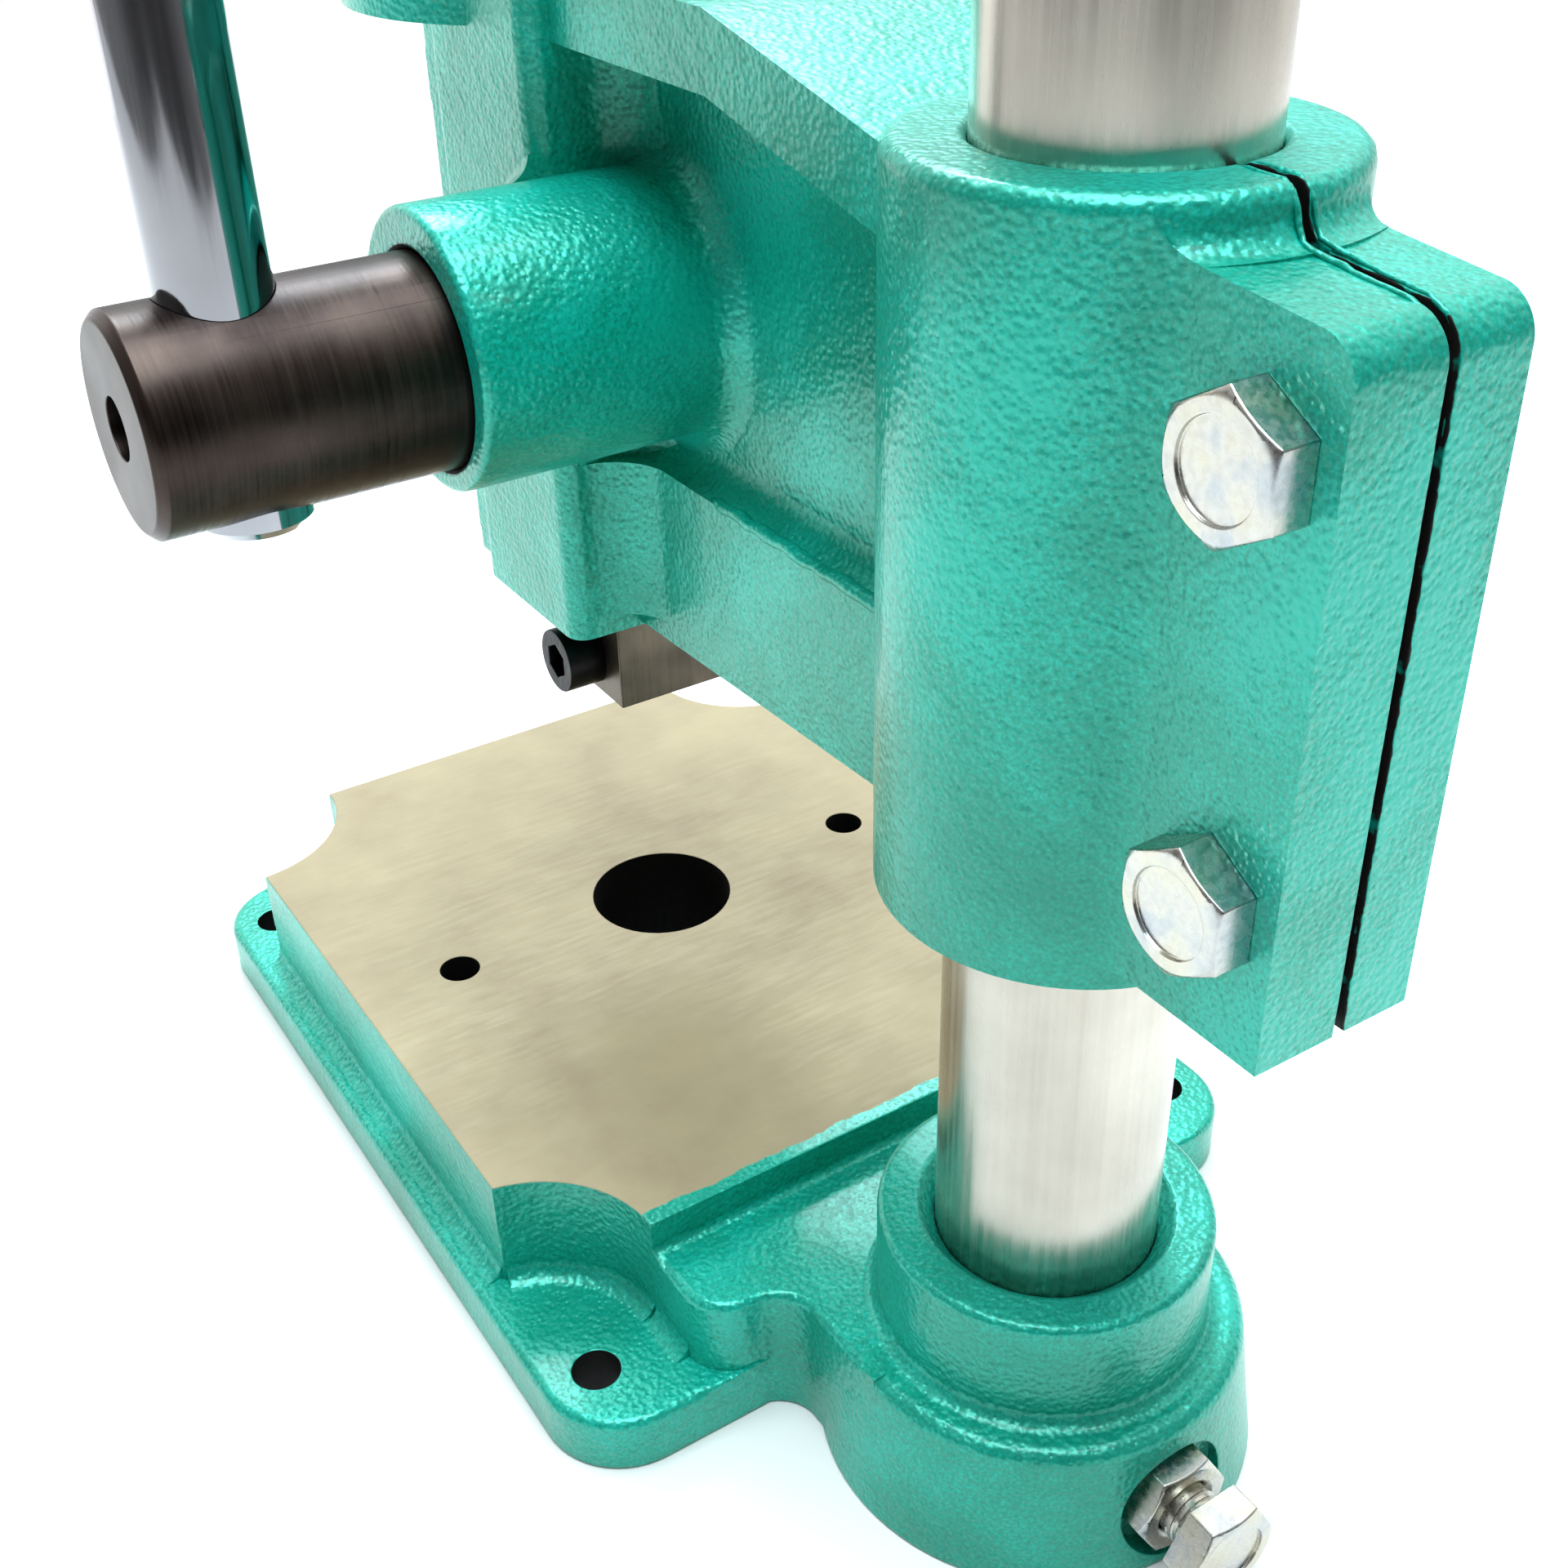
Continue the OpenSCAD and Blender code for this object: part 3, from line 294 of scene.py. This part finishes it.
def barMetal(look):
    # drawn, turned or ground bar: fine marks along one direction over a slow change of tone
    material, tree, coords = startMaterial(look["name"])
    squeeze = addNode(tree, "ShaderNodeMapping", {"Scale": look["stretch"]}, {"Vector": (coords, "Object")})
    marks = addNode(tree, "ShaderNodeTexNoise", {"Scale": perMillimetre(look["mark"]), "Detail": 4.0},
                    {"Vector": (squeeze, 0)})
    cloud = addNode(tree, "ShaderNodeTexNoise", {"Scale": perMillimetre(look["cloud"]), "Detail": 5.0},
                    {"Vector": (coords, "Object")})
    tone = addNode(tree, "ShaderNodeMath", {"operation": "MULTIPLY_ADD", 1: look["markTone"]},
                   {0: (marks, "Fac"), 2: (cloud, "Fac")})
    shift = look["markTone"] / 2
    colour = ramp(tree, (tone, 0), [(0.34 + shift, linear(look["dark"])),
                                    (0.64 + shift, linear(look["light"]))])
    smooth, dull = look["rough"]
    rough = ramp(tree, (marks, "Fac"), [(0.3, grey(smooth)), (0.7, grey(dull))])
    bump = addNode(tree, "ShaderNodeBump", {"Strength": look["bump"], "Distance": 0.05 * mm},
                   {"Height": (marks, "Fac")})
    shader = addNode(tree, "ShaderNodeBsdfPrincipled", {"Metallic": 1.0},
                     {"Base Color": (colour, 0), "Roughness": (rough, 0), "Normal": (bump, 0)})
    finishMaterial(tree, shader)
    return material


barLooks = {
    # stretch squeezes the pattern along the marks: 1 is across them and a small value is along them
    "column": {"name": "groundHardChrome", "stretch": (1, 1, 0.02), "mark": 1.2, "cloud": 40,
               "markTone": 0.25, "dark": "#aca69b", "light": "#cac4b9", "rough": (0.22, 0.32), "bump": 0.05},
    "lever": {"name": "polishedChrome", "stretch": (1, 1, 0.02), "mark": 1.0, "cloud": 40,
              "markTone": 0.1, "dark": "#97989e", "light": "#a9aaaf", "rough": (0.06, 0.12), "bump": 0.02},
    "hub": {"name": "oilBlackTurnedSteel", "stretch": (1, 0.02, 0.02), "mark": 0.5, "cloud": 16,
            "markTone": 0.35, "dark": "#2c2523", "light": "#453b36", "rough": (0.3, 0.42), "bump": 0.25},
    "ram": {"name": "oiledGroundSteel", "stretch": (1, 1, 0.04), "mark": 0.8, "cloud": 14,
            "markTone": 0.4, "dark": "#4a423b", "light": "#6c6255", "rough": (0.3, 0.44), "bump": 0.12},
    "plain": {"name": "machinedMildSteel", "stretch": (0.05, 1, 1), "mark": 0.8, "cloud": 14,
              "markTone": 0.3, "dark": "#858686", "light": "#abaaa6", "rough": (0.26, 0.4), "bump": 0.12},
    "black": {"name": "blackOxideSteel", "stretch": (1, 1, 0.3), "mark": 0.7, "cloud": 8,
              "markTone": 0.3, "dark": "#171617", "light": "#2b2929", "rough": (0.34, 0.5), "bump": 0.1},
}


zincLook = {
    "blue": "#acb1b4", "grey": "#c0beb7", "straw": "#c3bfb0",
    "bloom": 7, "pit": 1.1,     # mm
    "rough": (0.2, 0.36), "relief": 0.1, "reliefStrength": 0.15,
}


def zincPlate():
    # bright zinc over forged steel, with a faint blue and straw bloom
    material, tree, coords = startMaterial("brightZincPlate")
    bloom = addNode(tree, "ShaderNodeTexNoise", {"Scale": perMillimetre(zincLook["bloom"]), "Detail": 3.0},
                    {"Vector": (coords, "Object")})
    colour = ramp(tree, (bloom, "Fac"), [(0.36, linear(zincLook["blue"])), (0.5, linear(zincLook["grey"])),
                                         (0.64, linear(zincLook["straw"]))])
    pits = addNode(tree, "ShaderNodeTexNoise", {"Scale": perMillimetre(zincLook["pit"]), "Detail": 4.0},
                   {"Vector": (coords, "Object")})
    smooth, dull = zincLook["rough"]
    rough = ramp(tree, (pits, "Fac"), [(0.35, grey(smooth)), (0.7, grey(dull))])
    bump = addNode(tree, "ShaderNodeBump",
                   {"Strength": zincLook["reliefStrength"], "Distance": zincLook["relief"] * mm},
                   {"Height": (pits, "Fac")})
    shader = addNode(tree, "ShaderNodeBsdfPrincipled", {"Metallic": 1.0},
                     {"Base Color": (colour, 0), "Roughness": (rough, 0), "Normal": (bump, 0)})
    finishMaterial(tree, shader)
    return material


knobLook = {"deep": "#17171a", "worn": "#232327", "wear": 15, "rough": (0.12, 0.3),
            "coat": 0.4, "coatRoughness": 0.1}


def phenolicKnob():
    # pressed black phenolic, polished by the hand: a deep gloss with duller patches
    material, tree, coords = startMaterial("blackPhenolic")
    wear = addNode(tree, "ShaderNodeTexNoise", {"Scale": perMillimetre(knobLook["wear"]), "Detail": 6.0},
                   {"Vector": (coords, "Object")})
    smooth, dull = knobLook["rough"]
    rough = ramp(tree, (wear, "Fac"), [(0.3, grey(smooth)), (0.75, grey(dull))])
    colour = ramp(tree, (wear, "Fac"), [(0.3, linear(knobLook["deep"])), (0.8, linear(knobLook["worn"]))])
    shader = addNode(tree, "ShaderNodeBsdfPrincipled",
                     {"Coat Weight": knobLook["coat"], "Coat Roughness": knobLook["coatRoughness"]},
                     {"Base Color": (colour, 0), "Roughness": (rough, 0)})
    finishMaterial(tree, shader)
    return material


finishes = {"base": paintedBase(), "head": paintedHead(), "plate": paintedPlate(), "zinc": zincPlate(),
            "knob": phenolicKnob(), **{key: barMetal(look) for key, look in barLooks.items()}}
print("materials made:", len(finishes))


# CAD nodes with their faces merged, their edges rounded and their finish

def near(value, target, reach=0.6):
    return abs(value - target) < reach


baseRounding = {
    "hole": 0.3, "table": 0.5, "socket": 0.5, "setBolt": 0.5, "underside": 0.8, "ring": 1.6, "flange": 1.8,
    "rest": 1.0,
}


def baseEdge(x, y, z):
    # rounding of the base casting's edge at a place, in millimetres
    side = abs(x)
    flangeTop, neckTop, ringEdge = 12, 28.5, 49
    socketReach = 23                                # a little more than the socket's bore
    setBoltHeight, setBoltReach, bossRear = 12, 12, 160
    hollowTop, hollowSide, hollowRear = 23, 64, 55
    if any(near(math.hypot(side - hx, y - hy), r) for hx, hy, r in baseHoles):
        return baseRounding["hole"]
    if math.hypot(x, y - throat) < socketReach:
        return baseRounding["socket"]
    if y > bossRear and math.hypot(x, z - setBoltHeight) < setBoltReach:
        return baseRounding["setBolt"]
    if z < 1 or (1 < z < hollowTop and side < hollowSide and y < hollowRear):
        return baseRounding["underside"]
    if z > ringEdge:
        return baseRounding["ring"]
    if near(z, tableTop):
        return baseRounding["table"]
    if near(z, neckTop) or near(z, flangeTop):
        return baseRounding["flange"]
    return baseRounding["rest"]


headRounding = {
    "sawCut": 0.35, "bore": 0.4, "clampTop": 2.4, "boltSeat": 0.3, "channel": 0.4, "bearing": 1.3,
    "rest": 1.5,
}


def headEdge(x, y, z):
    # rounding of the head casting's edge at a place, in millimetres
    side = abs(x)
    fromColumn = math.hypot(x, y - throat)
    cutSide, cutStart = 1.2, 150
    columnReach, bearingReach = 21, 20              # a little more than the bores
    clampRadius, clampTop = 30, 229.5
    boltPlace, boltHeights, seatReach, seatSide = 176.5, (145.5, 204.5), 6, 10
    channelSide, channelRear = 13, 13.5
    bossRise, bossReach, bossStart = 1.5, 24, 50    # the boss is cast a little above its bore
    if side < cutSide and y > cutStart:
        return headRounding["sawCut"]
    if fromColumn < columnReach or math.hypot(y - pinion[0], z - pinion[1]) < bearingReach:
        return headRounding["bore"]
    if near(fromColumn, clampRadius, 0.8) and near(z, clampTop):
        return headRounding["clampTop"]
    toBolt = min(abs(z - height) for height in boltHeights)
    if near(y, boltPlace, seatReach) and toBolt < seatReach and side > seatSide:
        return headRounding["boltSeat"]
    if side < channelSide and y < channelRear:
        return headRounding["channel"]
    if math.hypot(y - pinion[0], z - pinion[1] - bossRise) < bossReach and x > bossStart:
        return headRounding["bearing"]
    return headRounding["rest"]


easedNodes = {
    # node: finish, and the rounding of its edges in millimetres or the rule that gives it
    "base_casting": ("base", baseEdge),
    "head_casting": ("head", headEdge),
    "front_cover": ("plate", 1.0),
    "stop_plate": ("plate", 1.0),
    "column": ("column", 0),
    "lever_rod": ("lever", 0),
    "pinion_shaft": ("hub", 0.3),
    "ram": ("ram", 0.35),
    "gib_strip": ("plain", 0.3),
    "spring_cup": ("plain", 0.5),
    "return_spring": ("plain", 0),
    "stop_rod": ("plain", 0.5),
    "clamp_bolts": ("zinc", 0.25),
    "column_set_bolt": ("zinc", 0.25),
    "column_lock_nut": ("zinc", 0.25),
    "gib_lock_nuts": ("zinc", 0.15),
    "shaft_nuts": ("zinc", 0.25),
    "stop_nut": ("zinc", 0.25),
    "stop_lock_nut": ("zinc", 0.25),
    "cup_screws": ("zinc", 0.15),
    "cover_screws": ("black", 0.1),
    "gib_screws": ("black", 0.15),
    "stop_plate_screws": ("black", 0.2),
    "lever_grub_screw": ("black", 0.2),
    "tool_clamp_screw": ("black", 0.3),
    "lever_knob": ("knob", 0.4),
}


rounding = {
    "sharp": math.radians(38),      # edges that turn by more are rounded
    "long": 10, "part": 5,          # edges longer than this are cut into parts, mm
    "shares": (1.0, 0.45, 0.2),     # the passes, each narrower than the last
    "attempts": 9,
    "fold": 0.02,                   # folds smaller than this are let be, mm2
    # the farthest that a new vertex may lie from the old surface and from its edge: widths and mm
    "fromSurface": (1.02, 0.01), "fromEdge": (2.5, 0.05),
    # edges this near to a tight spot are left: widths, widths more at each attempt, and mm
    "tightReach": (0.3, 0.15, 0.15),
    "spotSpacing": 0.3,
}


def sharpEdge(edge):
    return len(edge.link_faces) == 2 and edge.calc_face_angle(0) > rounding["sharp"]


def apart(spots, reach):
    kept = []
    for spot in spots:
        if all((spot - other).length > reach for other in kept):
            kept.append(spot)
    return kept


def foldedSpots(work):
    # corners of triangles that fold back over their own polygon
    work.normal_update()
    flat = work.copy()
    source = flat.faces.layers.int.new("source")
    normals = []
    for face in flat.faces:
        if len(face.verts) > 4:
            normals.append(face.normal.copy())
            face[source] = len(normals)
    bmesh.ops.triangulate(flat, faces=[face for face in flat.faces if face[source]])
    flat.normal_update()
    folded = [face for face in flat.faces if face[source] and face.calc_area() > rounding["fold"] * mm * mm
              and face.normal.dot(normals[face[source] - 1]) < 0]
    spots = [vert.co.copy() for face in folded for vert in face.verts]
    flat.free()
    return spots


def roundEdges(work, width):
    # bevel the sharp edges, the widest first; where a corner is too tight and a vertex strays or a polygon
    # folds, the edges at that corner are left for a narrower pass
    for edge in [e for e in work.edges if sharpEdge(e) and e.calc_length() > rounding["long"] * mm]:
        cuts = int(edge.calc_length() / (rounding["part"] * mm))
        bmesh.ops.subdivide_edges(work, edges=[edge], cuts=cuts)
    # each edge keeps its width in hundredths of a millimetre
    widthOf = work.edges.layers.int.new("width")
    for edge in work.edges:
        if sharpEdge(edge):
            middle = (edge.verts[0].co + edge.verts[1].co) / 2 / mm
            edge[widthOf] = round(100 * (width(*middle) if callable(width) else width))
    widths = sorted({edge[widthOf] for edge in work.edges} - {0}, reverse=True)
    for share in rounding["shares"]:
        for hundredths in widths:
            work = bevelWidth(work, hundredths, share)
    return work


def bevelWidth(work, hundredths, share):
    # one pass over the edges of one width; the mesh comes back unchanged if no attempt is clean
    size = share * hundredths / 100 * mm
    same = 0.0005 * mm
    start, more, least = rounding["tightReach"]
    surfaceLimit, edgeLimit = (times * size + extra * mm
                               for times, extra in (rounding["fromSurface"], rounding["fromEdge"]))
    surface = BVHTree.FromBMesh(work)
    old = KDTree(len(work.verts))
    for number, vert in enumerate(work.verts):
        old.insert(vert.co, number)
    old.balance()
    tight = []
    for attempt in range(rounding["attempts"]):
        trial = work.copy()
        tag = trial.edges.layers.int["width"]
        reach = (start + more * attempt) * size + least * mm
        chosen = [e for e in trial.edges if e[tag] == hundredths and sharpEdge(e)
                  and not any((v.co - spot).length < reach for v in e.verts for spot in tight)]
        if not chosen:
            trial.free()
            return work
        ends = [v.co.copy() for e in chosen for v in e.verts]
        rails = BVHTree.FromPolygons(ends, [(i, i + 1, i + 1) for i in range(0, len(ends), 2)])
        bmesh.ops.bevel(trial, geom=chosen, offset=size, offset_type="OFFSET", affect="EDGES",
                        segments=3 if share * hundredths > 60 else 2, profile=0.5, material=-1,
                        clamp_overlap=False)
        fresh = [v for v in trial.verts if old.find(v.co)[2] > same]
        stray = {v for v in fresh if surface.find_nearest(v.co)[3] > surfaceLimit
                 or rails.find_nearest(v.co)[3] > edgeLimit}
        folds = [spot for spot in foldedSpots(trial) if old.find(spot)[2] > same]
        if not stray and not folds:
            work.free()
            return trial
        for vert in stray:
            others = [edge.other_vert(vert) for edge in vert.link_edges]
            tight += [o.co.copy() for o in others if o not in stray] or [surface.find_nearest(vert.co)[0]]
        tight = apart(tight + folds, rounding["spotSpacing"] * mm)
        trial.free()
    return work


def addPiece(name, mesh, body):
    piece = bpy.data.objects.new(name, mesh)
    bpy.context.scene.collection.objects.link(piece)
    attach(piece, body)
    return piece


def easedCopy(name, finish, width):
    mesh = frame["nodes"][name].data.copy()
    mesh.name = name + "Dressed"
    work = bmesh.new()
    work.from_mesh(mesh)
    # the castings' blends leave slivers, which would stop the rounding
    weld = 0.15 if callable(width) else 0.01
    bmesh.ops.remove_doubles(work, verts=work.verts, dist=weld * mm)
    bmesh.ops.dissolve_limit(work, angle_limit=math.radians(0.5), verts=work.verts, edges=work.edges)
    if width:
        low, high = ([pick(vert.co[i] for vert in mesh.vertices) for i in range(3)] for pick in (min, max))
        work = roundEdges(work, width)
        # a corner's patch may bulge by a few hundredths, which stays inside the CAD piece's box
        for vert in work.verts:
            vert.co = [min(max(c, a), b) for c, a, b in zip(vert.co, low, high)]
    for face in work.faces:
        face.smooth = True
    for edge in work.edges:
        edge.smooth = not sharpEdge(edge)
    work.to_mesh(mesh)
    work.free()
    mesh.materials.clear()
    mesh.materials.append(finishes[finish])
    piece = addPiece(name + "Dressed", mesh, bodyOf[name])
    if width:
        even = piece.modifiers.new("evenShading", "WEIGHTED_NORMAL")
        even.weight = 100
        even.keep_sharp = True
    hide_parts(name)
    return piece


dressed = {name: easedCopy(name, finish, width) for name, (finish, width) in easedNodes.items()}
print("nodes dressed:", len(easedNodes))


# Thick paint along the saw cut, and the ridge of the arm's lower band

def addBead(name, points, look):
    # an irregular bead of paint or iron on the head along a path, points in millimetres
    chance = random.Random(look["seed"])
    curve = bpy.data.curves.new(name, "CURVE")
    curve.dimensions = "3D"
    curve.bevel_depth = look["radius"] * mm
    curve.bevel_resolution = 2
    curve.use_fill_caps = True
    spline = curve.splines.new("POLY")
    spline.points.add(len(points) - 1)
    for spot, place in zip(spline.points, points):
        moved = [c + chance.uniform(-j, j) for c, j in zip(place, look["jitter"])]
        spot.co = (*[c * mm for c in moved], 1)
        spot.radius = chance.uniform(0.75, 1.25)
    spline.points[0].radius = spline.points[-1].radius = 0.3
    rough = bpy.data.objects.new(name + "Path", curve)
    bpy.context.scene.collection.objects.link(rough)
    mesh = bpy.data.meshes.new_from_object(rough)
    bpy.data.objects.remove(rough)
    mesh.name = name
    work = bmesh.new()
    work.from_mesh(mesh)
    # the caps are joined to the tube, and the rings are evened out
    bmesh.ops.remove_doubles(work, verts=work.verts, dist=0.001 * mm)
    bmesh.ops.smooth_vert(work, verts=work.verts, factor=0.5,
                          use_axis_x=True, use_axis_y=True, use_axis_z=True)
    bmesh.ops.recalc_face_normals(work, faces=work.faces)
    for face in work.faces:
        face.smooth = True
    work.to_mesh(mesh)
    work.free()
    mesh.materials.clear()
    mesh.materials.append(finishes["plate"])
    addPiece(name, mesh, "head")


def alongPath(corners, spacing):
    # points at an even spacing along straight runs between corners
    points = []
    for start, end in zip(corners, corners[1:]):
        a, b = Vector(start), Vector(end)
        count = max(1, round((b - a).length / spacing))
        points += [a.lerp(b, i / count) for i in range(count)]
    return points + [Vector(corners[-1])]


sawCut = {
    "beadFromMiddle": 1.35, "radius": 0.42, "jitter": (0.28, 0.1, 0.12), "spacing": 1.6,
    "seeds": {"Near": 8, "Far": 6}, "sides": {"Near": 1, "Far": -1},
    # Y and Z, from the clamp's bore over its top, down the lug's blend and along its rear edge
    "profile": [(155.5, 229.4), (162.6, 229.4), (164.3, 228.5), (165.1, 226.8), (165.6, 225.0), (167, 223.3),
                (169.5, 222.6), (182.5, 221.0), (185.5, 219.9), (187.1, 217.8), (187.75, 215.0),
                (187.75, 126.0)],
}

for end, side in sawCut["sides"].items():
    lip = [(side * sawCut["beadFromMiddle"], y, z) for y, z in sawCut["profile"]]
    addBead("sawCutLip" + end, alongPath(lip, sawCut["spacing"]), {**sawCut, "seed": sawCut["seeds"][end]})

bandRidge = {
    "radius": 1.25, "jitter": (0.35, 0.4, 0.35), "spacing": 3.0, "seed": 21,
    "corners": [(9.2, 46.0, 151.2), (9.6, 52.0, 151.8), (9.8, 66.0, 152.0), (9.6, 80.0, 151.7),
                (9.8, 94.0, 152.1), (9.3, 106.5, 151.4)],
}

addBead("bandRidge", alongPath(bandRidge["corners"], bandRidge["spacing"]), bandRidge)
print("paint beads laid")


# Threads that show on the screws

def turnDown(piece, above, share):
    # narrow a standing bar about the ram's axis above a height, with a short shoulder
    shoulder = 0.4
    work = bmesh.new()
    work.from_mesh(piece.data)
    for height in (above, above + shoulder):
        bmesh.ops.bisect_plane(work, geom=[*work.verts, *work.edges, *work.faces], dist=0.0001 * mm,
                               plane_co=(0, 0, height * mm), plane_no=(0, 0, 1))
    upper = [vert for vert in work.verts if vert.co.z > (above + 0.75 * shoulder) * mm]
    bmesh.ops.scale(work, vec=(share, share, 1), verts=upper)
    work.to_mesh(piece.data)
    work.free()


def addThread(name, thread):
    # a helical ridge around a shank, spun up from one tooth
    steps = 28
    sunk = 0.1      # the tooth's foot lies in the shank
    start, pitch = thread["start"], thread["pitch"]
    turns = int((thread["end"] - start) / pitch) - 1
    flank = 0.42 * pitch
    foot = thread["root"] - sunk
    work = bmesh.new()
    corners = [(foot, -flank), (thread["crest"], 0), (foot, flank)]
    verts = [work.verts.new((r * mm, 0, (start + flank + h) * mm)) for r, h in corners]
    face = work.faces.new(verts)
    bmesh.ops.spin(work, geom=[face, *face.edges, *face.verts], cent=(0, 0, 0), axis=(0, 0, 1),
                   dvec=(0, 0, pitch * mm / steps), angle=math.radians(360 * turns),
                   steps=steps * turns, use_duplicate=False)
    bmesh.ops.recalc_face_normals(work, faces=work.faces)
    turn = Vector((0, 0, 1)).rotation_difference(Vector(thread["axis"])).to_matrix().to_4x4()
    place = Matrix.Translation(Vector(thread["middle"]) * mm)
    bmesh.ops.transform(work, matrix=place @ turn, verts=work.verts)
    mesh = bpy.data.meshes.new(name)
    work.to_mesh(mesh)
    work.free()
    mesh.materials.append(finishes[thread["finish"]])
    addPiece(name, mesh, bodyOf[thread["node"]])


# root, crest and shank are radii, start and end are along the axis from the middle, all in millimetres
setBoltThread = {"node": "column_set_bolt", "finish": "zinc", "middle": (0, 0, 12), "axis": (0, 1, 0),
                 "start": 174.9, "end": 179.6, "root": 5.0, "crest": 5.2, "pitch": 1.25}
addThread("setBoltThread", setBoltThread)

stopRodThread = {"node": "stop_rod", "finish": "plain", "middle": (0, 0, 0), "axis": (0, 0, 1),
                 "start": 298.3, "end": 311.0, "root": 5.35, "crest": 6.0, "pitch": 1.75, "shank": 6.0}
turnDown(dressed["stop_rod"], 298, stopRodThread["root"] / stopRodThread["shank"])
addThread("stopRodThread", stopRodThread)
print("threads cut")


# Floor, light and camera

floorLook = {"colour": "#f4f3f0", "roughness": 0.6, "halfSize": 1.25}


def addFloor():
    material, tree, coords = startMaterial("paleFloor")
    shader = addNode(tree, "ShaderNodeBsdfPrincipled",
                     {"Base Color": linear(floorLook["colour"]), "Roughness": floorLook["roughness"]})
    finishMaterial(tree, shader)
    work = bmesh.new()
    bmesh.ops.create_grid(work, x_segments=1, y_segments=1, size=floorLook["halfSize"])
    mesh = bpy.data.meshes.new("floor")
    work.to_mesh(mesh)
    work.free()
    mesh.materials.append(material)
    floor = bpy.data.objects.new("floor", mesh)
    bpy.context.scene.collection.objects.link(floor)


def addLight(name, lamp):
    data = bpy.data.lights.new(name, "AREA")
    data.shape = "RECTANGLE"
    data.size, data.size_y = lamp["size"]
    data.energy = lamp["watts"]
    data.color = linear(lamp["colour"])[:3]
    made = bpy.data.objects.new(name, data)
    bpy.context.scene.collection.objects.link(made)
    place = Vector(lamp["place"])
    made.location = place
    made.rotation_euler = (Vector(lamp["target"]) - place).to_track_quat("-Z", "Y").to_euler()


room = {
    # brightness from behind the photographer to the backdrop ahead, which gives the chrome its stripes,
    # and how much of it there is from below the horizon to overhead; places run from 0 to 1
    "ahead": (-0.56, -0.83, 0.0),
    "around": ((0.06, 0.08), (0.2, 0.24), (0.52, 0.34), (0.74, 1.0)),
    "upward": ((0.49, 1.0), (0.52, 0.4), (0.6, 0.55), (0.7, 1.6)),
}


def addWorld():
    world = bpy.data.worlds.new("studio")
    world.use_nodes = True
    tree = world.node_tree
    tree.nodes.clear()
    coords = addNode(tree, "ShaderNodeTexCoord")
    facing = addNode(tree, "ShaderNodeVectorMath", {"operation": "DOT_PRODUCT", 1: room["ahead"]},
                     {0: (coords, "Generated")})
    spread = addNode(tree, "ShaderNodeMapRange", {"From Min": -1.0, "From Max": 1.0},
                     {"Value": (facing, "Value")})
    around = ramp(tree, (spread, 0), [(place, grey(light)) for place, light in room["around"]])
    climb = addNode(tree, "ShaderNodeSeparateXYZ", None, {0: (coords, "Generated")})
    height = addNode(tree, "ShaderNodeMapRange", {"From Min": -1.0, "From Max": 1.0},
                     {"Value": (climb, "Z")})
    upward = ramp(tree, (height, 0), [(place, grey(share)) for place, share in room["upward"]])
    lit = addNode(tree, "ShaderNodeVectorMath", {"operation": "MULTIPLY"}, {0: (around, 0), 1: (upward, 0)})
    back = addNode(tree, "ShaderNodeBackground", {"Strength": 1.0}, {"Color": (lit, 0)})
    addNode(tree, "ShaderNodeOutputWorld", None, {"Surface": (back, 0)})
    bpy.context.scene.world = world


# The photograph's viewpoint, worked out from the column, the clamp, the socket and the table
viewpoint = {
    "place": (161.64 * mm, 311.78 * mm, 285.84 * mm),
    "right": (-0.8404, 0.5415, -0.0208),
    "up": (-0.3046, -0.4404, 0.8445),
    "lens": 43.38,
}


def addCamera():
    data = bpy.data.cameras.new("camera")
    data.sensor_width = 36
    data.lens = viewpoint["lens"]
    data.clip_start = 0.01
    camera = bpy.data.objects.new("camera", data)
    bpy.context.scene.collection.objects.link(camera)
    right = Vector(viewpoint["right"]).normalized()
    up = Vector(viewpoint["up"])
    up = (up - right * up.dot(right)).normalized()
    turn = Matrix((right, up, right.cross(up))).transposed().to_4x4()
    camera.matrix_world = Matrix.Translation(viewpoint["place"]) @ turn
    bpy.context.scene.camera = camera


lamps = {
    # places in metres; the overhead lamp is the main one, and the backlight gives the paint its sparkle
    "overhead": {"place": (0.06, 0.22, 1.25), "target": (0, 0.06, 0.1), "size": (0.8, 0.8), "watts": 21,
                 "colour": "#e9f6ff"},
    "front": {"place": (0.32, -0.95, 0.3), "target": (0.02, 0.02, 0.12), "size": (0.8, 0.6), "watts": 1.5,
              "colour": "#ffffff"},
    "backlight": {"place": (-0.42, -0.88, 1.25), "target": (0, 0.06, 0.12), "size": (0.7, 0.45), "watts": 20,
                  "colour": "#e2f3ff"},
}

addFloor()
addWorld()
for name, lamp in lamps.items():
    addLight(name, lamp)
addCamera()
bpy.context.scene.view_settings.view_transform = "Standard"
print("studio set")
